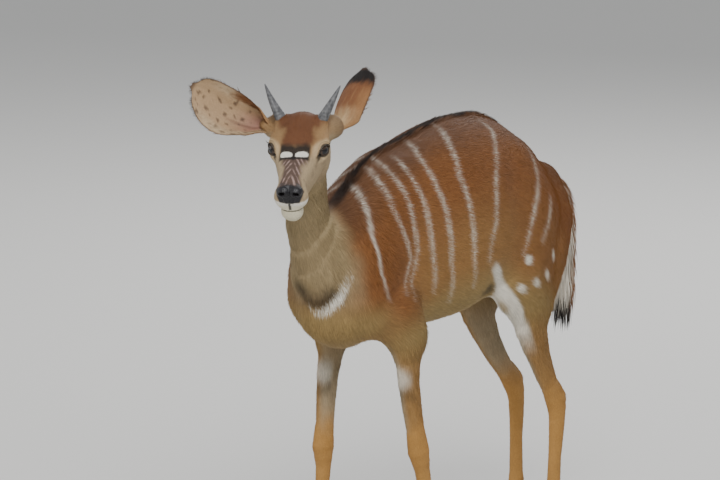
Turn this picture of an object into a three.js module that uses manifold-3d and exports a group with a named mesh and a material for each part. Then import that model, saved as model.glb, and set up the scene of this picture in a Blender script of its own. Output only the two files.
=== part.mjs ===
// A young male nyala, standing with its head turned to look over its left side.
// Millimetres, +Z up. The animal faces -Y and its left side is +X. Its hooves stand on Z = 0.
// The body is modelled whole as one smooth field of forms, skinned ring by ring, and then parted
// with thin cuts. Horns, eyes, ears, hooves and tail are solids of their own.
import * as THREE from "three";
import { mergeVertices } from "three/addons/utils/BufferGeometryUtils.js";
import Module from "manifold-3d";

const wasm = await Module();
wasm.setup();

// Driving sizes of the animal
const withersHeight = 862;
const trunkFront = -195;
const trunkRear = 622;
const legSpread = 86;
const seam = 0.3;

// Pose of the head and the steps of the four legs
const headPlace = new THREE.Vector3(-3, -209, 931);
const headPitch = THREE.MathUtils.degToRad(18);
const headYaw = THREE.MathUtils.degToRad(28);
const legs = [
  { name: "front_left", side: 1, fore: true, swing: 74, splay: 4 },
  { name: "front_right", side: -1, fore: true, swing: -56, splay: 6 },
  { name: "hind_left", side: 1, fore: false, swing: -62, splay: 2 },
  { name: "hind_right", side: -1, fore: false, swing: 66, splay: 2 },
];

// Colours of the coat, horn and eyes
const rufous = { color: 0x7d4a26, roughness: 0.85, metalness: 0 };
const tawny = { color: 0x9c5f2c, roughness: 0.85, metalness: 0 };
const greyBrown = { color: 0x7a6a52, roughness: 0.85, metalness: 0 };
const earSkin = { color: 0xa98763, roughness: 0.8, metalness: 0 };
const hornGrey = { color: 0x6a6765, roughness: 0.55, metalness: 0 };
const hoofBlack = { color: 0x25201c, roughness: 0.45, metalness: 0 };
const eyeDark = { color: 0x120b08, roughness: 0.08, metalness: 0 };
const tailBrown = { color: 0x5c3b26, roughness: 0.9, metalness: 0 };

const { clamp, lerp, degToRad } = THREE.MathUtils;
const vec = (x, y, z) => new THREE.Vector3(x, y, z);

// A smooth curve through [place, value] pairs, flat outside its ends and never overshooting.
function profile(...pairs) {
  const slopes = pairs.map((pair, i) => {
    if (i === 0 || i === pairs.length - 1) return 0;
    const before = (pair[1] - pairs[i - 1][1]) / (pair[0] - pairs[i - 1][0]);
    const after = (pairs[i + 1][1] - pair[1]) / (pairs[i + 1][0] - pair[0]);
    return before * after <= 0 ? 0 : (2 * before * after) / (before + after);
  });
  return (place) => {
    if (place <= pairs[0][0]) return pairs[0][1];
    if (place >= pairs[pairs.length - 1][0]) return pairs[pairs.length - 1][1];
    let i = 0;
    while (place > pairs[i + 1][0]) i += 1;
    const [x0, y0] = pairs[i];
    const [x1, y1] = pairs[i + 1];
    const span = x1 - x0;
    const t = (place - x0) / span;
    const hump = t * t * (3 - 2 * t);
    return (
      lerp(y0, y1, hump) +
      span * t * (1 - t) * (slopes[i] * (1 - t) - slopes[i + 1] * t)
    );
  };
}

// Fields: each gives roughly the distance to a form's surface, negative inside it.

function blend(a, b, softness) {
  const near = Math.max(softness - Math.abs(a - b), 0) / softness;
  return Math.min(a, b) - near * near * softness * 0.25;
}

// Distance to an ellipse of half sizes (wide, high) at the offset (u, v) from its middle.
function ovalDistance(u, v, wide, high) {
  const p = u / wide;
  const q = v / high;
  const round = Math.hypot(p, q);
  if (round < 1e-6) return -Math.min(wide, high);
  return ((round - 1) * round) / Math.hypot(p / wide, q / high);
}

// An ellipsoid turned about the X axis: a positive tilt swings its top backwards.
function ellipsoid(p, middle, radii, tiltDegrees = 0) {
  const tilt = degToRad(tiltDegrees);
  const dx = p.x - middle.x;
  const dy = p.y - middle.y;
  const dz = p.z - middle.z;
  const along = dy * Math.cos(tilt) - dz * Math.sin(tilt);
  const up = dy * Math.sin(tilt) + dz * Math.cos(tilt);
  const u = dx / radii.x;
  const v = along / radii.y;
  const w = up / radii.z;
  const round = Math.hypot(u, v, w);
  if (round < 1e-6) return -Math.min(radii.x, radii.y, radii.z);
  return ((round - 1) * round) / Math.hypot(u / radii.x, v / radii.y, w / radii.z);
}

// A limb follows stations {at, side, fore}: half its width across, and half its depth.
function refined(stations, steps) {
  const route = new THREE.CatmullRomCurve3(stations.map((s) => s.at), false, "centripetal");
  const count = (stations.length - 1) * steps;
  return Array.from({ length: count + 1 }, (_, k) => {
    const place = (k / count) * (stations.length - 1);
    const i = Math.min(Math.floor(place), stations.length - 2);
    const t = place - i;
    const ease = t * t * (3 - 2 * t) * 0.5 + t * 0.5;
    return {
      at: route.getPoint(k / count),
      side: lerp(stations[i].side, stations[i + 1].side, ease),
      fore: lerp(stations[i].fore, stations[i + 1].fore, ease),
    };
  });
}

function limb(p, stations) {
  let nearest = Infinity;
  for (let i = 0; i < stations.length - 1; i += 1) {
    const a = stations[i];
    const b = stations[i + 1];
    const ax = b.at.x - a.at.x;
    const ay = b.at.y - a.at.y;
    const az = b.at.z - a.at.z;
    const t = clamp(
      ((p.x - a.at.x) * ax + (p.y - a.at.y) * ay + (p.z - a.at.z) * az) /
        (ax * ax + ay * ay + az * az),
      0,
      1,
    );
    const across = p.x - a.at.x - t * ax;
    const depth = Math.hypot(p.y - a.at.y - t * ay, p.z - a.at.z - t * az);
    const side = lerp(a.side, b.side, t);
    const fore = lerp(a.fore, b.fore, t);
    nearest = Math.min(nearest, ovalDistance(across, depth, side, fore));
  }
  return nearest;
}

// The trunk: back line, belly line, half width and height of the widest place, from chest to rump
const backLine = profile(
  [trunkFront, 690],
  [-135, 768],
  [-70, 828],
  [0, withersHeight],
  [80, 880],
  [160, 897],
  [240, 907],
  [310, 905],
  [385, 886],
  [455, 836],
  [530, 776],
  [590, 718],
  [trunkRear, 686],
);
const bellyLine = profile(
  [trunkFront, 606],
  [-165, 560],
  [-100, 507],
  [0, 503],
  [110, 510],
  [210, 514],
  [290, 530],
  [360, 562],
  [430, 600],
  [530, 628],
  [trunkRear, 652],
);
const halfWidth = profile(
  [trunkFront, 46],
  [-120, 86],
  [0, 104],
  [100, 122],
  [200, 134],
  [280, 130],
  [360, 110],
  [450, 96],
  [540, 78],
  [trunkRear, 34],
);
const widestLevel = profile(
  [trunkFront, 646],
  [0, 656],
  [200, 654],
  [300, 668],
  [410, 716],
  [trunkRear, 668],
);

function trunk(p) {
  const y = clamp(p.y, trunkFront, trunkRear);
  const level = widestLevel(y);
  const high = p.z > level ? backLine(y) - level : level - bellyLine(y);
  const section = ovalDistance(p.x, p.z - level, halfWidth(y), high);
  const beyond = Math.abs(p.y - y);
  return beyond > 0 ? Math.hypot(Math.max(section, 0), beyond) + Math.min(section, 0) * 0.2 : section;
}

// The neck, from inside the chest to the back of the skull
const neckStations = refined(
  [
    { at: vec(0, -60, 680), side: 74, fore: 100 },
    { at: vec(-3, -136, 698), side: 58, fore: 84 },
    { at: vec(-8, -186, 735), side: 40, fore: 56 },
    { at: vec(-6, -203, 790), side: 37, fore: 52 },
    { at: vec(-5, -208, 850), side: 37, fore: 49 },
    { at: vec(-4, -209, 905), side: 37, fore: 46 },
    { at: vec(-3, -208, 925), side: 36, fore: 42 },
  ],
  2,
);

// The muscles that each leg hangs from: blade and upper arm in front, thigh and ham behind
function shoulderStations(leg) {
  const s = leg.side;
  return refined(
    [
      { at: vec(s * 26, 30, 806), side: 13, fore: 34 },
      { at: vec(s * 52, -24, 742), side: 27, fore: 54 },
      { at: vec(s * 70, -82, 662), side: 34, fore: 60 },
      { at: vec(s * 76, -98, 604), side: 35, fore: 54 },
      { at: vec(s * 82, -50, 560), side: 37, fore: 50 },
      { at: vec(s * legSpread, -8 + leg.swing * 0.05, 522), side: 34, fore: 44 },
    ],
    2,
  );
}

function thighStations(leg) {
  const s = leg.side;
  const step = (drop) => leg.swing * drop;
  return refined(
    [
      { at: vec(s * 46, 408, 774), side: 30, fore: 60 },
      { at: vec(s * 66, 406 + step(0.1), 706), side: 42, fore: 92 },
      { at: vec(s * 78, 392 + step(0.26), 630), side: 45, fore: 84 },
      { at: vec(s * 87, 386 + step(0.36), 566), side: 40, fore: 64 },
    ],
    2,
  );
}

function hamStations(leg) {
  const s = leg.side;
  const step = (drop) => leg.swing * drop;
  return refined(
    [
      { at: vec(s * 40, 522, 728), side: 30, fore: 52 },
      { at: vec(s * 52, 536 + step(0.06), 666), side: 39, fore: 56 },
      { at: vec(s * 68, 512 + step(0.26), 602), side: 36, fore: 58 },
      { at: vec(s * 80, 470 + step(0.46), 522), side: 31, fore: 46 },
    ],
    2,
  );
}

// The routes of the legs from inside the muscles above down to the crown of the hoof
function foreLeg(leg) {
  const out = (drop) => leg.side * (legSpread + leg.splay * drop);
  const step = (drop) => leg.swing * drop;
  return refined(
    [
      { at: vec(out(0), -28, 572), side: 34, fore: 46 },
      { at: vec(out(0.1), -8 + step(0.05), 508), side: 27, fore: 37 },
      { at: vec(out(0.2), -14 + step(0.2), 430), side: 21.5, fore: 27 },
      { at: vec(out(0.4), -10 + step(0.42), 335), side: 18.5, fore: 21.5 },
      { at: vec(out(0.5), -8 + step(0.54), 288), side: 21.5, fore: 24.5 },
      { at: vec(out(0.6), -2 + step(0.62), 248), side: 15.5, fore: 18 },
      { at: vec(out(0.8), 1 + step(0.78), 180), side: 12.8, fore: 15.5 },
      { at: vec(out(0.9), 2 + step(0.92), 122), side: 14, fore: 17 },
      { at: vec(out(1), 1 + step(0.97), 92), side: 17.5, fore: 20 },
      { at: vec(out(1), -11 + step(1), 60), side: 15.5, fore: 17 },
      { at: vec(out(1), -21 + step(1), 38), side: 19.5, fore: 22 },
      { at: vec(out(1), -25 + step(1), 24), side: 19.5, fore: 22 },
    ],
    2,
  );
}

function hindLeg(leg) {
  const out = (drop) => leg.side * (legSpread + leg.splay * drop);
  const step = (drop) => leg.swing * drop;
  return refined(
    [
      { at: vec(out(-0.8), 440 + step(0.1), 690), side: 30, fore: 60 },
      { at: vec(out(-0.4), 424 + step(0.25), 620), side: 36, fore: 66 },
      { at: vec(out(0), 425 + step(0.38), 552), side: 36, fore: 62 },
      { at: vec(out(0.3), 444 + step(0.5), 484), side: 28.5, fore: 46 },
      { at: vec(out(0.4), 484 + step(0.6), 405), side: 20.5, fore: 31 },
      { at: vec(out(0.5), 524 + step(0.72), 348), side: 17, fore: 24 },
      { at: vec(out(0.6), 553 + step(0.8), 313), side: 19.5, fore: 28 },
      { at: vec(out(0.6), 562 + step(0.86), 274), side: 16, fore: 21 },
      { at: vec(out(0.7), 558 + step(0.92), 195), side: 13, fore: 16.5 },
      { at: vec(out(0.9), 556 + step(0.97), 124), side: 14, fore: 17.5 },
      { at: vec(out(1), 555 + step(0.99), 94), side: 17.5, fore: 20.5 },
      { at: vec(out(1), 543 + step(1), 61), side: 15.5, fore: 17 },
      { at: vec(out(1), 533 + step(1), 38), side: 19.5, fore: 22 },
      { at: vec(out(1), 529 + step(1), 24), side: 19.5, fore: 22 },
    ],
    2,
  );
}

for (const leg of legs) {
  leg.stations = leg.fore ? foreLeg(leg) : hindLeg(leg);
  leg.muscles = leg.fore ? [shoulderStations(leg)] : [thighStations(leg), hamStations(leg)];
}

function torso(p) {
  const d = blend(trunk(p), limb(p, neckStations), 45);
  return blend(d, ellipsoid(p, vec(0, -122, 572), vec(74, 62, 62), 20), 40);
}

// The head's own frame: x to its left, y back along the face, z out of the forehead.
// Its origin is the back of the skull, and the nose is at y = -noseTip.
const noseTip = 232;
const crownLine = profile(
  [-noseTip, -10],
  [-224, 5],
  [-196, 14],
  [-150, 26],
  [-118, 41],
  [-88, 57],
  [-52, 66],
  [-15, 55],
  [12, 32],
  [34, 2],
);
const jawLine = profile(
  [-noseTip, -36],
  [-216, -67],
  [-190, -75],
  [-150, -71],
  [-105, -70],
  [-60, -72],
  [-25, -72],
  [8, -62],
  [34, -40],
);
const faceWidth = profile(
  [-noseTip, 12],
  [-222, 22],
  [-200, 25.5],
  [-162, 31],
  [-125, 41],
  [-90, 49],
  [-45, 50],
  [0, 43],
  [34, 26],
);
const faceLevel = profile([-noseTip, -14], [-180, -8], [-90, 8], [-30, 6], [34, -16]);

function skull(p) {
  const y = clamp(p.y, -noseTip, 34);
  const level = faceLevel(y);
  const high = p.z > level ? crownLine(y) - level : level - jawLine(y);
  const section = ovalDistance(p.x, p.z - level, faceWidth(y), high);
  const beyond = Math.abs(p.y - y);
  return beyond > 0 ? Math.hypot(Math.max(section, 0), beyond) + Math.min(section, 0) * 0.2 : section;
}

const eyeRadius = 14.5;
const eyePlace = vec(42, -96, 14);
const hornPlace = vec(36, -44, 47);
const earPlace = vec(51, -10, 24);

function head(p) {
  const q = vec(Math.abs(p.x), p.y, p.z);
  let d = skull(p);
  d = blend(d, ellipsoid(q, eyePlace, vec(18, 21, 19)), 14);
  d = blend(d, ellipsoid(q, vec(42, -74, 29), vec(13, 26, 10), -14), 14);
  d = blend(d, ellipsoid(q, vec(32, -40, -34), vec(17, 40, 30), 12), 16);
  d = blend(d, ellipsoid(q, vec(14, -205, -28), vec(16, 23, 21), 12), 9);
  d = blend(d, ellipsoid(q, vec(0, -203, -66), vec(17, 18, 10), 14), 8);
  d = blend(d, ellipsoid(q, vec(9, -225, -5), vec(13.5, 13, 12), -10), 7);
  d = blend(d, ellipsoid(q, hornPlace, vec(14, 14, 12)), 16);
  return blend(d, ellipsoid(q, earPlace, vec(19, 21, 21)), 20);
}

const headMatrix = new THREE.Matrix4()
  .makeTranslation(headPlace.x, headPlace.y, headPlace.z)
  .multiply(new THREE.Matrix4().makeRotationZ(headYaw))
  .multiply(new THREE.Matrix4().makeRotationX(headPitch));
const bodyMatrix = headMatrix.clone().invert();
const toWorld = (p) => p.clone().applyMatrix4(headMatrix);
const toHead = (p) => p.clone().applyMatrix4(bodyMatrix);

// The whole animal as one field, with the joins between its forms softened
function whole(p) {
  let d = torso(p);
  for (const leg of legs) {
    for (const muscle of leg.muscles) d = blend(d, limb(p, muscle), 40);
    d = blend(d, limb(p, leg.stations), 30);
  }
  return p.z > 780 && p.y < -100 ? blend(d, head(toHead(p)), 24) : d;
}

// Skinning: rings stand across a route inside a form, and each point of a ring is where the ray
// from the route leaves the whole field, held to a margin beyond the form's own edge.
function exitAlong(field, from, way, reach) {
  const stride = 7;
  const p = vec(0, 0, 0);
  let near = 0;
  let far = 0;
  do {
    near = far;
    far += stride;
    p.copy(from).addScaledVector(way, far);
  } while (far < reach && field(p) < 0);
  for (let i = 0; i < 12; i += 1) {
    const middle = (near + far) / 2;
    p.copy(from).addScaledVector(way, middle);
    if (field(p) < 0) near = middle;
    else far = middle;
  }
  return Math.min((near + far) / 2, reach);
}

function edgeFrom(form, field, from, way, margin, inset = 0) {
  const own = exitAlong(form, from, way, 420);
  const held = margin ? exitAlong(field, from, way, own + margin) : own;
  return from.clone().addScaledVector(way, Math.max(held, own) - inset);
}

// A closed surface from rings of points, with a middle point at each end.
function ringSurface(rings, firstPole, lastPole) {
  const sectors = rings[0].length;
  const points = [firstPole, ...rings.flat(), lastPole];
  const at = (ring, k) => 1 + ring * sectors + (k % sectors);
  const index = [];
  for (let k = 0; k < sectors; k += 1) {
    index.push(0, at(0, k + 1), at(0, k));
    index.push(points.length - 1, at(rings.length - 1, k), at(rings.length - 1, k + 1));
    for (let i = 0; i < rings.length - 1; i += 1) {
      index.push(at(i, k), at(i, k + 1), at(i + 1, k + 1));
      index.push(at(i, k), at(i + 1, k + 1), at(i + 1, k));
    }
  }
  const geometry = new THREE.BufferGeometry().setFromPoints(points);
  geometry.setIndex(index);
  return geometry;
}

function skinAlong(form, field, route, count, sectors, margin, insetAt = () => 0) {
  const rings = [];
  const across = vec(1, 0, 0);
  let first = null;
  let last = null;
  for (let i = 0; i < count; i += 1) {
    const t = i / (count - 1);
    const centre = route.getPoint(t);
    const along = route.getTangent(t).setX(0).normalize();
    const up = along.clone().cross(across).normalize();
    const ring = [];
    for (let k = 0; k < sectors; k += 1) {
      const turn = (k / sectors) * Math.PI * 2;
      const way = up.clone().multiplyScalar(Math.cos(turn)).addScaledVector(across, Math.sin(turn));
      ring.push(edgeFrom(form, field, centre, way, margin, insetAt(t)));
    }
    rings.push(ring);
    if (i === 0) first = edgeFrom(form, field, centre, along.clone().negate(), 0);
    if (i === count - 1) last = edgeFrom(form, field, centre, along, 0);
  }
  return ringSurface(rings, first, last);
}

// Solids: closed meshes that can be joined and cut

function solid(geometry, matrix = new THREE.Matrix4()) {
  const bare = new THREE.BufferGeometry().setAttribute("position", geometry.getAttribute("position"));
  bare.setIndex(geometry.index);
  const merged = mergeVertices(bare.applyMatrix4(matrix), 1e-3);
  const flipped = merged.index.array.slice();
  for (let i = 0; i < flipped.length; i += 3) {
    [flipped[i + 1], flipped[i + 2]] = [flipped[i + 2], flipped[i + 1]];
  }
  const made = (triVerts) =>
    new wasm.Manifold(
      new wasm.Mesh({
        numProp: 3,
        vertProperties: new Float32Array(merged.attributes.position.array),
        triVerts: new Uint32Array(triVerts),
      }),
    );
  const right = made(merged.index.array);
  return right.volume() > 0 ? right : made(flipped);
}

function meshOf(form) {
  const mesh = form.getMesh();
  const count = mesh.numVert;
  const stride = mesh.numProp;
  const positions = new Float32Array(count * 3);
  for (let i = 0; i < count; i += 1) {
    positions.set(mesh.vertProperties.subarray(i * stride, i * stride + 3), i * 3);
  }
  const geometry = new THREE.BufferGeometry();
  geometry.setAttribute("position", new THREE.BufferAttribute(positions, 3));
  geometry.setIndex(new THREE.BufferAttribute(new Uint32Array(mesh.triVerts), 1));
  return geometry;
}

const largest = (s) => s.decompose().reduce((a, b) => (b.volume() > a.volume() ? b : a));
const joined = (pieces) => wasm.Manifold.union(pieces);
const placed = (form, matrix) => solid(meshOf(form), matrix);
const middleOf = (ring) => ring.reduce((a, b) => a.clone().add(b)).multiplyScalar(1 / ring.length);

// A slab through the pivot, turned about the X axis; it reaches far in its own plane.
function slab(pivot, turnDegrees, thickness, wide = 1200, deep = 1200) {
  const matrix = new THREE.Matrix4()
    .makeTranslation(pivot.x, pivot.y, pivot.z)
    .multiply(new THREE.Matrix4().makeRotationX(degToRad(turnDegrees)));
  return solid(new THREE.BoxGeometry(wide, deep, thickness), matrix);
}

const turnTo = (from, to) => new THREE.Quaternion().setFromUnitVectors(from, to);

function ball(place, radius, sectors = 20, squash = vec(1, 1, 1), turn = new THREE.Quaternion()) {
  const matrix = new THREE.Matrix4().compose(place, turn, squash);
  return solid(new THREE.SphereGeometry(radius, sectors, Math.round(sectors * 0.6)), matrix);
}

const trunkRoute = new THREE.CatmullRomCurve3([
  vec(0, 606, 684),
  vec(0, 560, 706),
  vec(0, 470, 716),
  vec(0, 360, 708),
  vec(0, 240, 696),
  vec(0, 110, 690),
  vec(0, 0, 686),
  vec(0, -80, 692),
  vec(-2, -134, 714),
  vec(-5, -176, 750),
  vec(-6, -198, 800),
  vec(-3, -206, 855),
  vec(1, -206, 905),
]);
const trunkBody = solid(skinAlong(torso, torso, trunkRoute, 40, 26, 0));

// Each leg is skinned with its muscles, from high inside the body down to the hoof.
function legBody(leg) {
  const s = leg.side;
  const tops = leg.fore
    ? [vec(s * 36, 20, 786), vec(s * 50, -14, 736), vec(s * 62, -54, 672), vec(s * 72, -62, 618)]
    : [vec(s * 44, 455, 760), vec(s * 56, 450, 725)];
  const high = new THREE.CatmullRomCurve3([...tops, leg.stations[0].at]).getPoints(leg.fore ? 9 : 4);
  const points = [...high.slice(0, -1), ...leg.stations.map((station) => station.at)];
  const route = new THREE.CatmullRomCurve3(points, false, "centripetal");
  const own = (p) =>
    leg.muscles.reduce((d, muscle) => blend(d, limb(p, muscle), 30), limb(p, leg.stations));
  const inset = profile([0, 1.5], [0.4, 1.2], [0.5, 0]);
  return solid(skinAlong(own, whole, route, points.length, 14, 30, inset));
}

// Horns: short straight spikes with faint rings at the foot
const hornLength = 66;
const hornFoot = 10.5;

function horn(side, swell) {
  const start = vec(side * hornPlace.x, hornPlace.y, hornPlace.z);
  const way = vec(side * 0.46, 0.44, 0.77).normalize();
  const across = vec(0, 1, 0).cross(way).normalize();
  const up = way.clone().cross(across);
  const rings = Array.from({ length: 11 }, (_, i) => {
    const t = i / 10;
    const ripple = t < 0.5 ? 0.35 * (i % 2) : 0;
    const radius = (hornFoot + ripple) * Math.pow(1 - t, 0.82) + 1.1 + swell;
    const lean = 5 * Math.sin(Math.PI * t);
    const centre = start.clone().addScaledVector(way, t * (hornLength + 12) + (i ? 0 : -swell));
    centre.addScaledVector(up, -lean);
    return Array.from({ length: 10 }, (_, k) => {
      const angle = (k / 10) * Math.PI * 2;
      return centre
        .clone()
        .addScaledVector(across, radius * Math.cos(angle))
        .addScaledVector(up, radius * 1.12 * Math.sin(angle));
    });
  });
  return solid(ringSurface(rings, middleOf(rings[0]), middleOf(rings[10]).addScaledVector(way, 1)));
}

// Ears: cupped leaves, each row an arc that opens from a tube at the root to a broad cup
const earLength = 172;
const earKnob = 18;
const earSkew = 0.28;
const earArc = profile([0, 88], [0.2, 106], [0.45, 112], [0.7, 98], [0.88, 66], [1, 12]);
const earCurl = profile([0, 2.4], [0.2, 1.8], [0.45, 1.15], [0.75, 0.75], [1, 0.5]);
const earThickness = profile([0, 5], [0.3, 3.6], [1, 2.2]);

function ear({ side, root, along, facing, bend }, swell = 0) {
  const way = along.clone().normalize();
  const open = facing.clone().addScaledVector(way, -facing.dot(way)).normalize();
  const across = way.clone().cross(open);
  const rows = 11;
  const columns = 6;
  const rings = [];
  for (let i = 0; i < rows; i += 1) {
    const t = i / (rows - 1);
    const radius = earArc(t) / (2 * earCurl(t));
    const curl = Math.min(earCurl(t) + swell / radius, 3);
    const thick = earThickness(t);
    const start = i === 0 ? -swell : 0;
    const centre = root
      .clone()
      .addScaledVector(way, 6 + start + t * (earLength - 6))
      .addScaledVector(open, bend * t * t);
    const outer = [];
    const inner = [];
    for (let k = 0; k <= columns; k += 1) {
      const u = (k / columns) * 2 - 1;
      const angle = curl * (u + side * earSkew * Math.sin(Math.PI * t));
      const edge = 1 - 0.45 * Math.pow(Math.abs(u), 4);
      const point = (r) =>
        centre
          .clone()
          .addScaledVector(open, radius - r * Math.cos(angle))
          .addScaledVector(across, r * Math.sin(angle));
      outer.push(point(radius + swell));
      inner.push(point(Math.max(radius - thick * edge - swell, 1)));
    }
    rings.push([...outer, ...inner.reverse()]);
  }
  const first = middleOf([rings[0][columns / 2], rings[0][(columns * 3) / 2 + 1]]);
  const last = middleOf(rings[rows - 1]).addScaledVector(way, 1.5 + swell);
  const leaf = solid(ringSurface(rings, first, last));
  const knob = root.clone().addScaledVector(open, earKnob * 0.75);
  return leaf.add(ball(knob, earKnob + swell, 13));
}

const ears = [
  {
    name: "ear_left",
    side: 1,
    root: vec(53, -4, 22),
    along: vec(0.24, 0.95, 0.2),
    facing: vec(0.42, 0.81, -0.41),
    bend: -6,
  },
  {
    name: "ear_right",
    side: -1,
    root: vec(-62, -14, 18),
    along: vec(-0.87, 0.05, 0.49),
    facing: vec(0.2, -0.97, 0.1),
    bend: 8,
  },
];

// Face: eyes in their sockets, the opening between the lids, nostrils and the line of the mouth
const headRoute = new THREE.CatmullRomCurve3([
  vec(0, 24, -16),
  vec(0, -10, -8),
  vec(0, -60, -6),
  vec(0, -120, -8),
  vec(0, -180, -12),
  vec(0, -226, -13),
]);
const headWhole = (p) => blend(head(p), limb(toWorld(p), neckStations), 24);
let face = solid(skinAlong(head, headWhole, headRoute, 28, 26, 22, profile([0, 1.2], [0.4, 0])));
for (const side of [1, -1]) {
  const eye = vec(side * eyePlace.x, eyePlace.y, eyePlace.z);
  face = face.subtract(ball(eye, eyeRadius + seam, 14));
  const gaze = vec(side * 0.8, -0.57, 0.18).normalize();
  const lids = eye.clone().addScaledVector(gaze, 12);
  face = face.subtract(ball(lids, 1, 14, vec(13, 15.5, 8.4), turnTo(vec(side, 0, 0), gaze)));
  const nostril = vec(side * 14.5, -noseTip + 1, -6);
  face = face.subtract(ball(nostril, 1, 10, vec(4.2, 9, 5.2)));
}
const mouthTop = profile([-240, -49], [-215, -50], [-190, -53], [-170, -51]);
const mouthRings = Array.from({ length: 7 }, (_, i) => {
  const y = lerp(-246, -168, i / 6);
  const wide = lerp(60, 34, i / 6);
  const z = mouthTop(y);
  return [vec(-wide, y, z), vec(wide, y, z), vec(wide, y, z - 1.1), vec(-wide, y, z - 1.1)];
});
const mouth = solid(ringSurface(mouthRings, vec(0, -246, mouthTop(-246) - 0.5), vec(0, -168, -51.5)));
face = face.subtract(mouth.subtract(ball(vec(0, -180, -50), 1, 16, vec(16, 40, 14))));
for (const side of [1, -1]) face = face.subtract(horn(side, seam));
for (const leaf of ears) face = face.subtract(ear(leaf, seam));

// Locks: flat tapered blades of hair that bend as they go, with their roots sunk in the skin
let seed = 7;
function random(low, high) {
  seed = (seed * 16807) % 2147483647;
  return low + (high - low) * (seed / 2147483647);
}

function lock({ root, way, flat, length, width, thick, bend, sink = 6 }) {
  const steps = 4;
  const ahead = way.clone().normalize();
  const across = flat.clone().cross(ahead).normalize();
  const over = ahead.clone().cross(across);
  const rings = Array.from({ length: steps }, (_, i) => {
    const t = i / (steps - 1);
    const wide = width * 0.5 * (i === 0 ? 0.7 : Math.pow(1 - t, 0.6) + 0.1);
    const deep = thick * 0.5 * (1 - 0.75 * t);
    const centre = root
      .clone()
      .addScaledVector(ahead, t * (length + sink) - sink)
      .addScaledVector(over, bend * t * t);
    return [
      centre.clone().addScaledVector(across, wide),
      centre.clone().addScaledVector(over, deep),
      centre.clone().addScaledVector(across, -wide),
      centre.clone().addScaledVector(over, -deep),
    ];
  });
  return solid(ringSurface(rings, middleOf(rings[0]), middleOf(rings[steps - 1]).addScaledVector(ahead, 2)));
}

// The short dark crest stands along the nape and the back and leans to the rear
function ridgePoint(t) {
  const from = trunkRoute.getPoint(t);
  const ahead = trunkRoute.getTangent(t).setX(0).normalize();
  const up = ahead.clone().cross(vec(1, 0, 0)).normalize();
  return edgeFrom(torso, torso, from, up, 0);
}

function crest() {
  const tufts = [];
  const count = 36;
  for (let i = 0; i < count; i += 1) {
    const t = lerp(0.07, 0.93, i / (count - 1));
    const foot = ridgePoint(t);
    const back = ridgePoint(t - 0.03).sub(foot).normalize();
    const up = vec(1, 0, 0).cross(back).normalize();
    const lean = (i % 2 ? 1 : -1) * random(2, 5);
    tufts.push(
      lock({
        root: foot.addScaledVector(up, -2).add(vec(lean, 0, 0)),
        way: back.addScaledVector(up, random(0.16, 0.24)),
        flat: vec(lean * 0.06, 0, 0).add(up),
        length: random(44, 54),
        width: random(17, 21),
        thick: 5,
        bend: -random(2, 5),
      }),
    );
  }
  return joined(tufts);
}

// Hooves: two claws to a foot, flat below, with the toe wall sloping forward from the crown
const clawGap = 3;

function claw(leg, inner, swell = 0) {
  const foot = leg.stations[leg.stations.length - 1].at;
  const side = inner ? -leg.side : leg.side;
  const heights = [0, 8, 17, 26];
  const rings = heights.map((height, i) => {
    const rise = i / 3;
    const front = lerp(-40, -21, rise);
    const back = lerp(25, 22, rise);
    const half = lerp(10.6, 9.4, rise);
    return Array.from({ length: 12 }, (_, k) => {
      const angle = (k / 12) * Math.PI * 2;
      const along = -Math.cos(angle);
      const toe = along < 0 ? Math.pow(-along, 1.5) * 0.34 : 0;
      const across = Math.sin(angle) * (1 - toe);
      const flat = across * side < 0 ? 0.82 : 1;
      const y = (front + back) / 2 + (along * (back - front)) / 2;
      const top = i === 3 ? 29 - (y / 22) * 5.5 : height;
      return vec(
        foot.x + side * (clawGap / 2 + 8.7) + across * half * flat,
        foot.y + y,
        top,
      );
    });
  });
  return solid(ringSurface(rings, middleOf(rings[0]).setZ(-swell), middleOf(rings[3])));
}

const dewclaw = (leg, side, swell = 0) => {
  const foot = leg.stations[leg.stations.length - 5].at;
  return ball(vec(foot.x + side * 9.5, foot.y + 17, foot.z - 8), 1, 7, vec(6 + swell, 7 + swell, 10 + swell));
};

// Tail: a root under the rump and a hanging brush of locks round a core
const tailStations = refined(
  [
    { at: vec(0, 574, 722), side: 17, fore: 17 },
    { at: vec(0, 612, 726), side: 17, fore: 17 },
    { at: vec(0, 644, 704), side: 16, fore: 16 },
    { at: vec(0, 658, 660), side: 15, fore: 14 },
    { at: vec(0, 661, 600), side: 15, fore: 13 },
    { at: vec(0, 659, 535), side: 12, fore: 10 },
    { at: vec(0, 655, 480), side: 5, fore: 5 },
  ],
  2,
);
const tailRoute = new THREE.CatmullRomCurve3(tailStations.map((s) => s.at));

function tailCore(swell) {
  const field = (p) => limb(p, tailStations) - swell;
  return solid(skinAlong(field, field, tailRoute, 12, 8, 0));
}

function tailBrush() {
  const field = (p) => limb(p, tailStations);
  const tufts = [];
  for (let row = 0; row < 6; row += 1) {
    for (let k = 0; k < 3; k += 1) {
      const angle = ((k + (row % 2) * 0.5) / 3) * Math.PI * 2 + random(-0.2, 0.2);
      const t = lerp(0.34, 0.93, row / 5);
      const from = tailRoute.getPoint(t);
      const down = tailRoute.getTangent(t).normalize();
      const out = vec(Math.cos(angle), Math.sin(angle), 0);
      const foot = edgeFrom(field, field, from, out, 0);
      tufts.push(
        lock({
          root: foot.addScaledVector(out, -3),
          way: down.clone().addScaledVector(out, out.y < -0.3 ? 0.03 : 0.2),
          flat: out,
          length: random(68, 82),
          width: random(18, 22),
          thick: 5,
          bend: -random(3, 8),
        }),
      );
    }
  }
  return joined(tufts);
}

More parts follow.
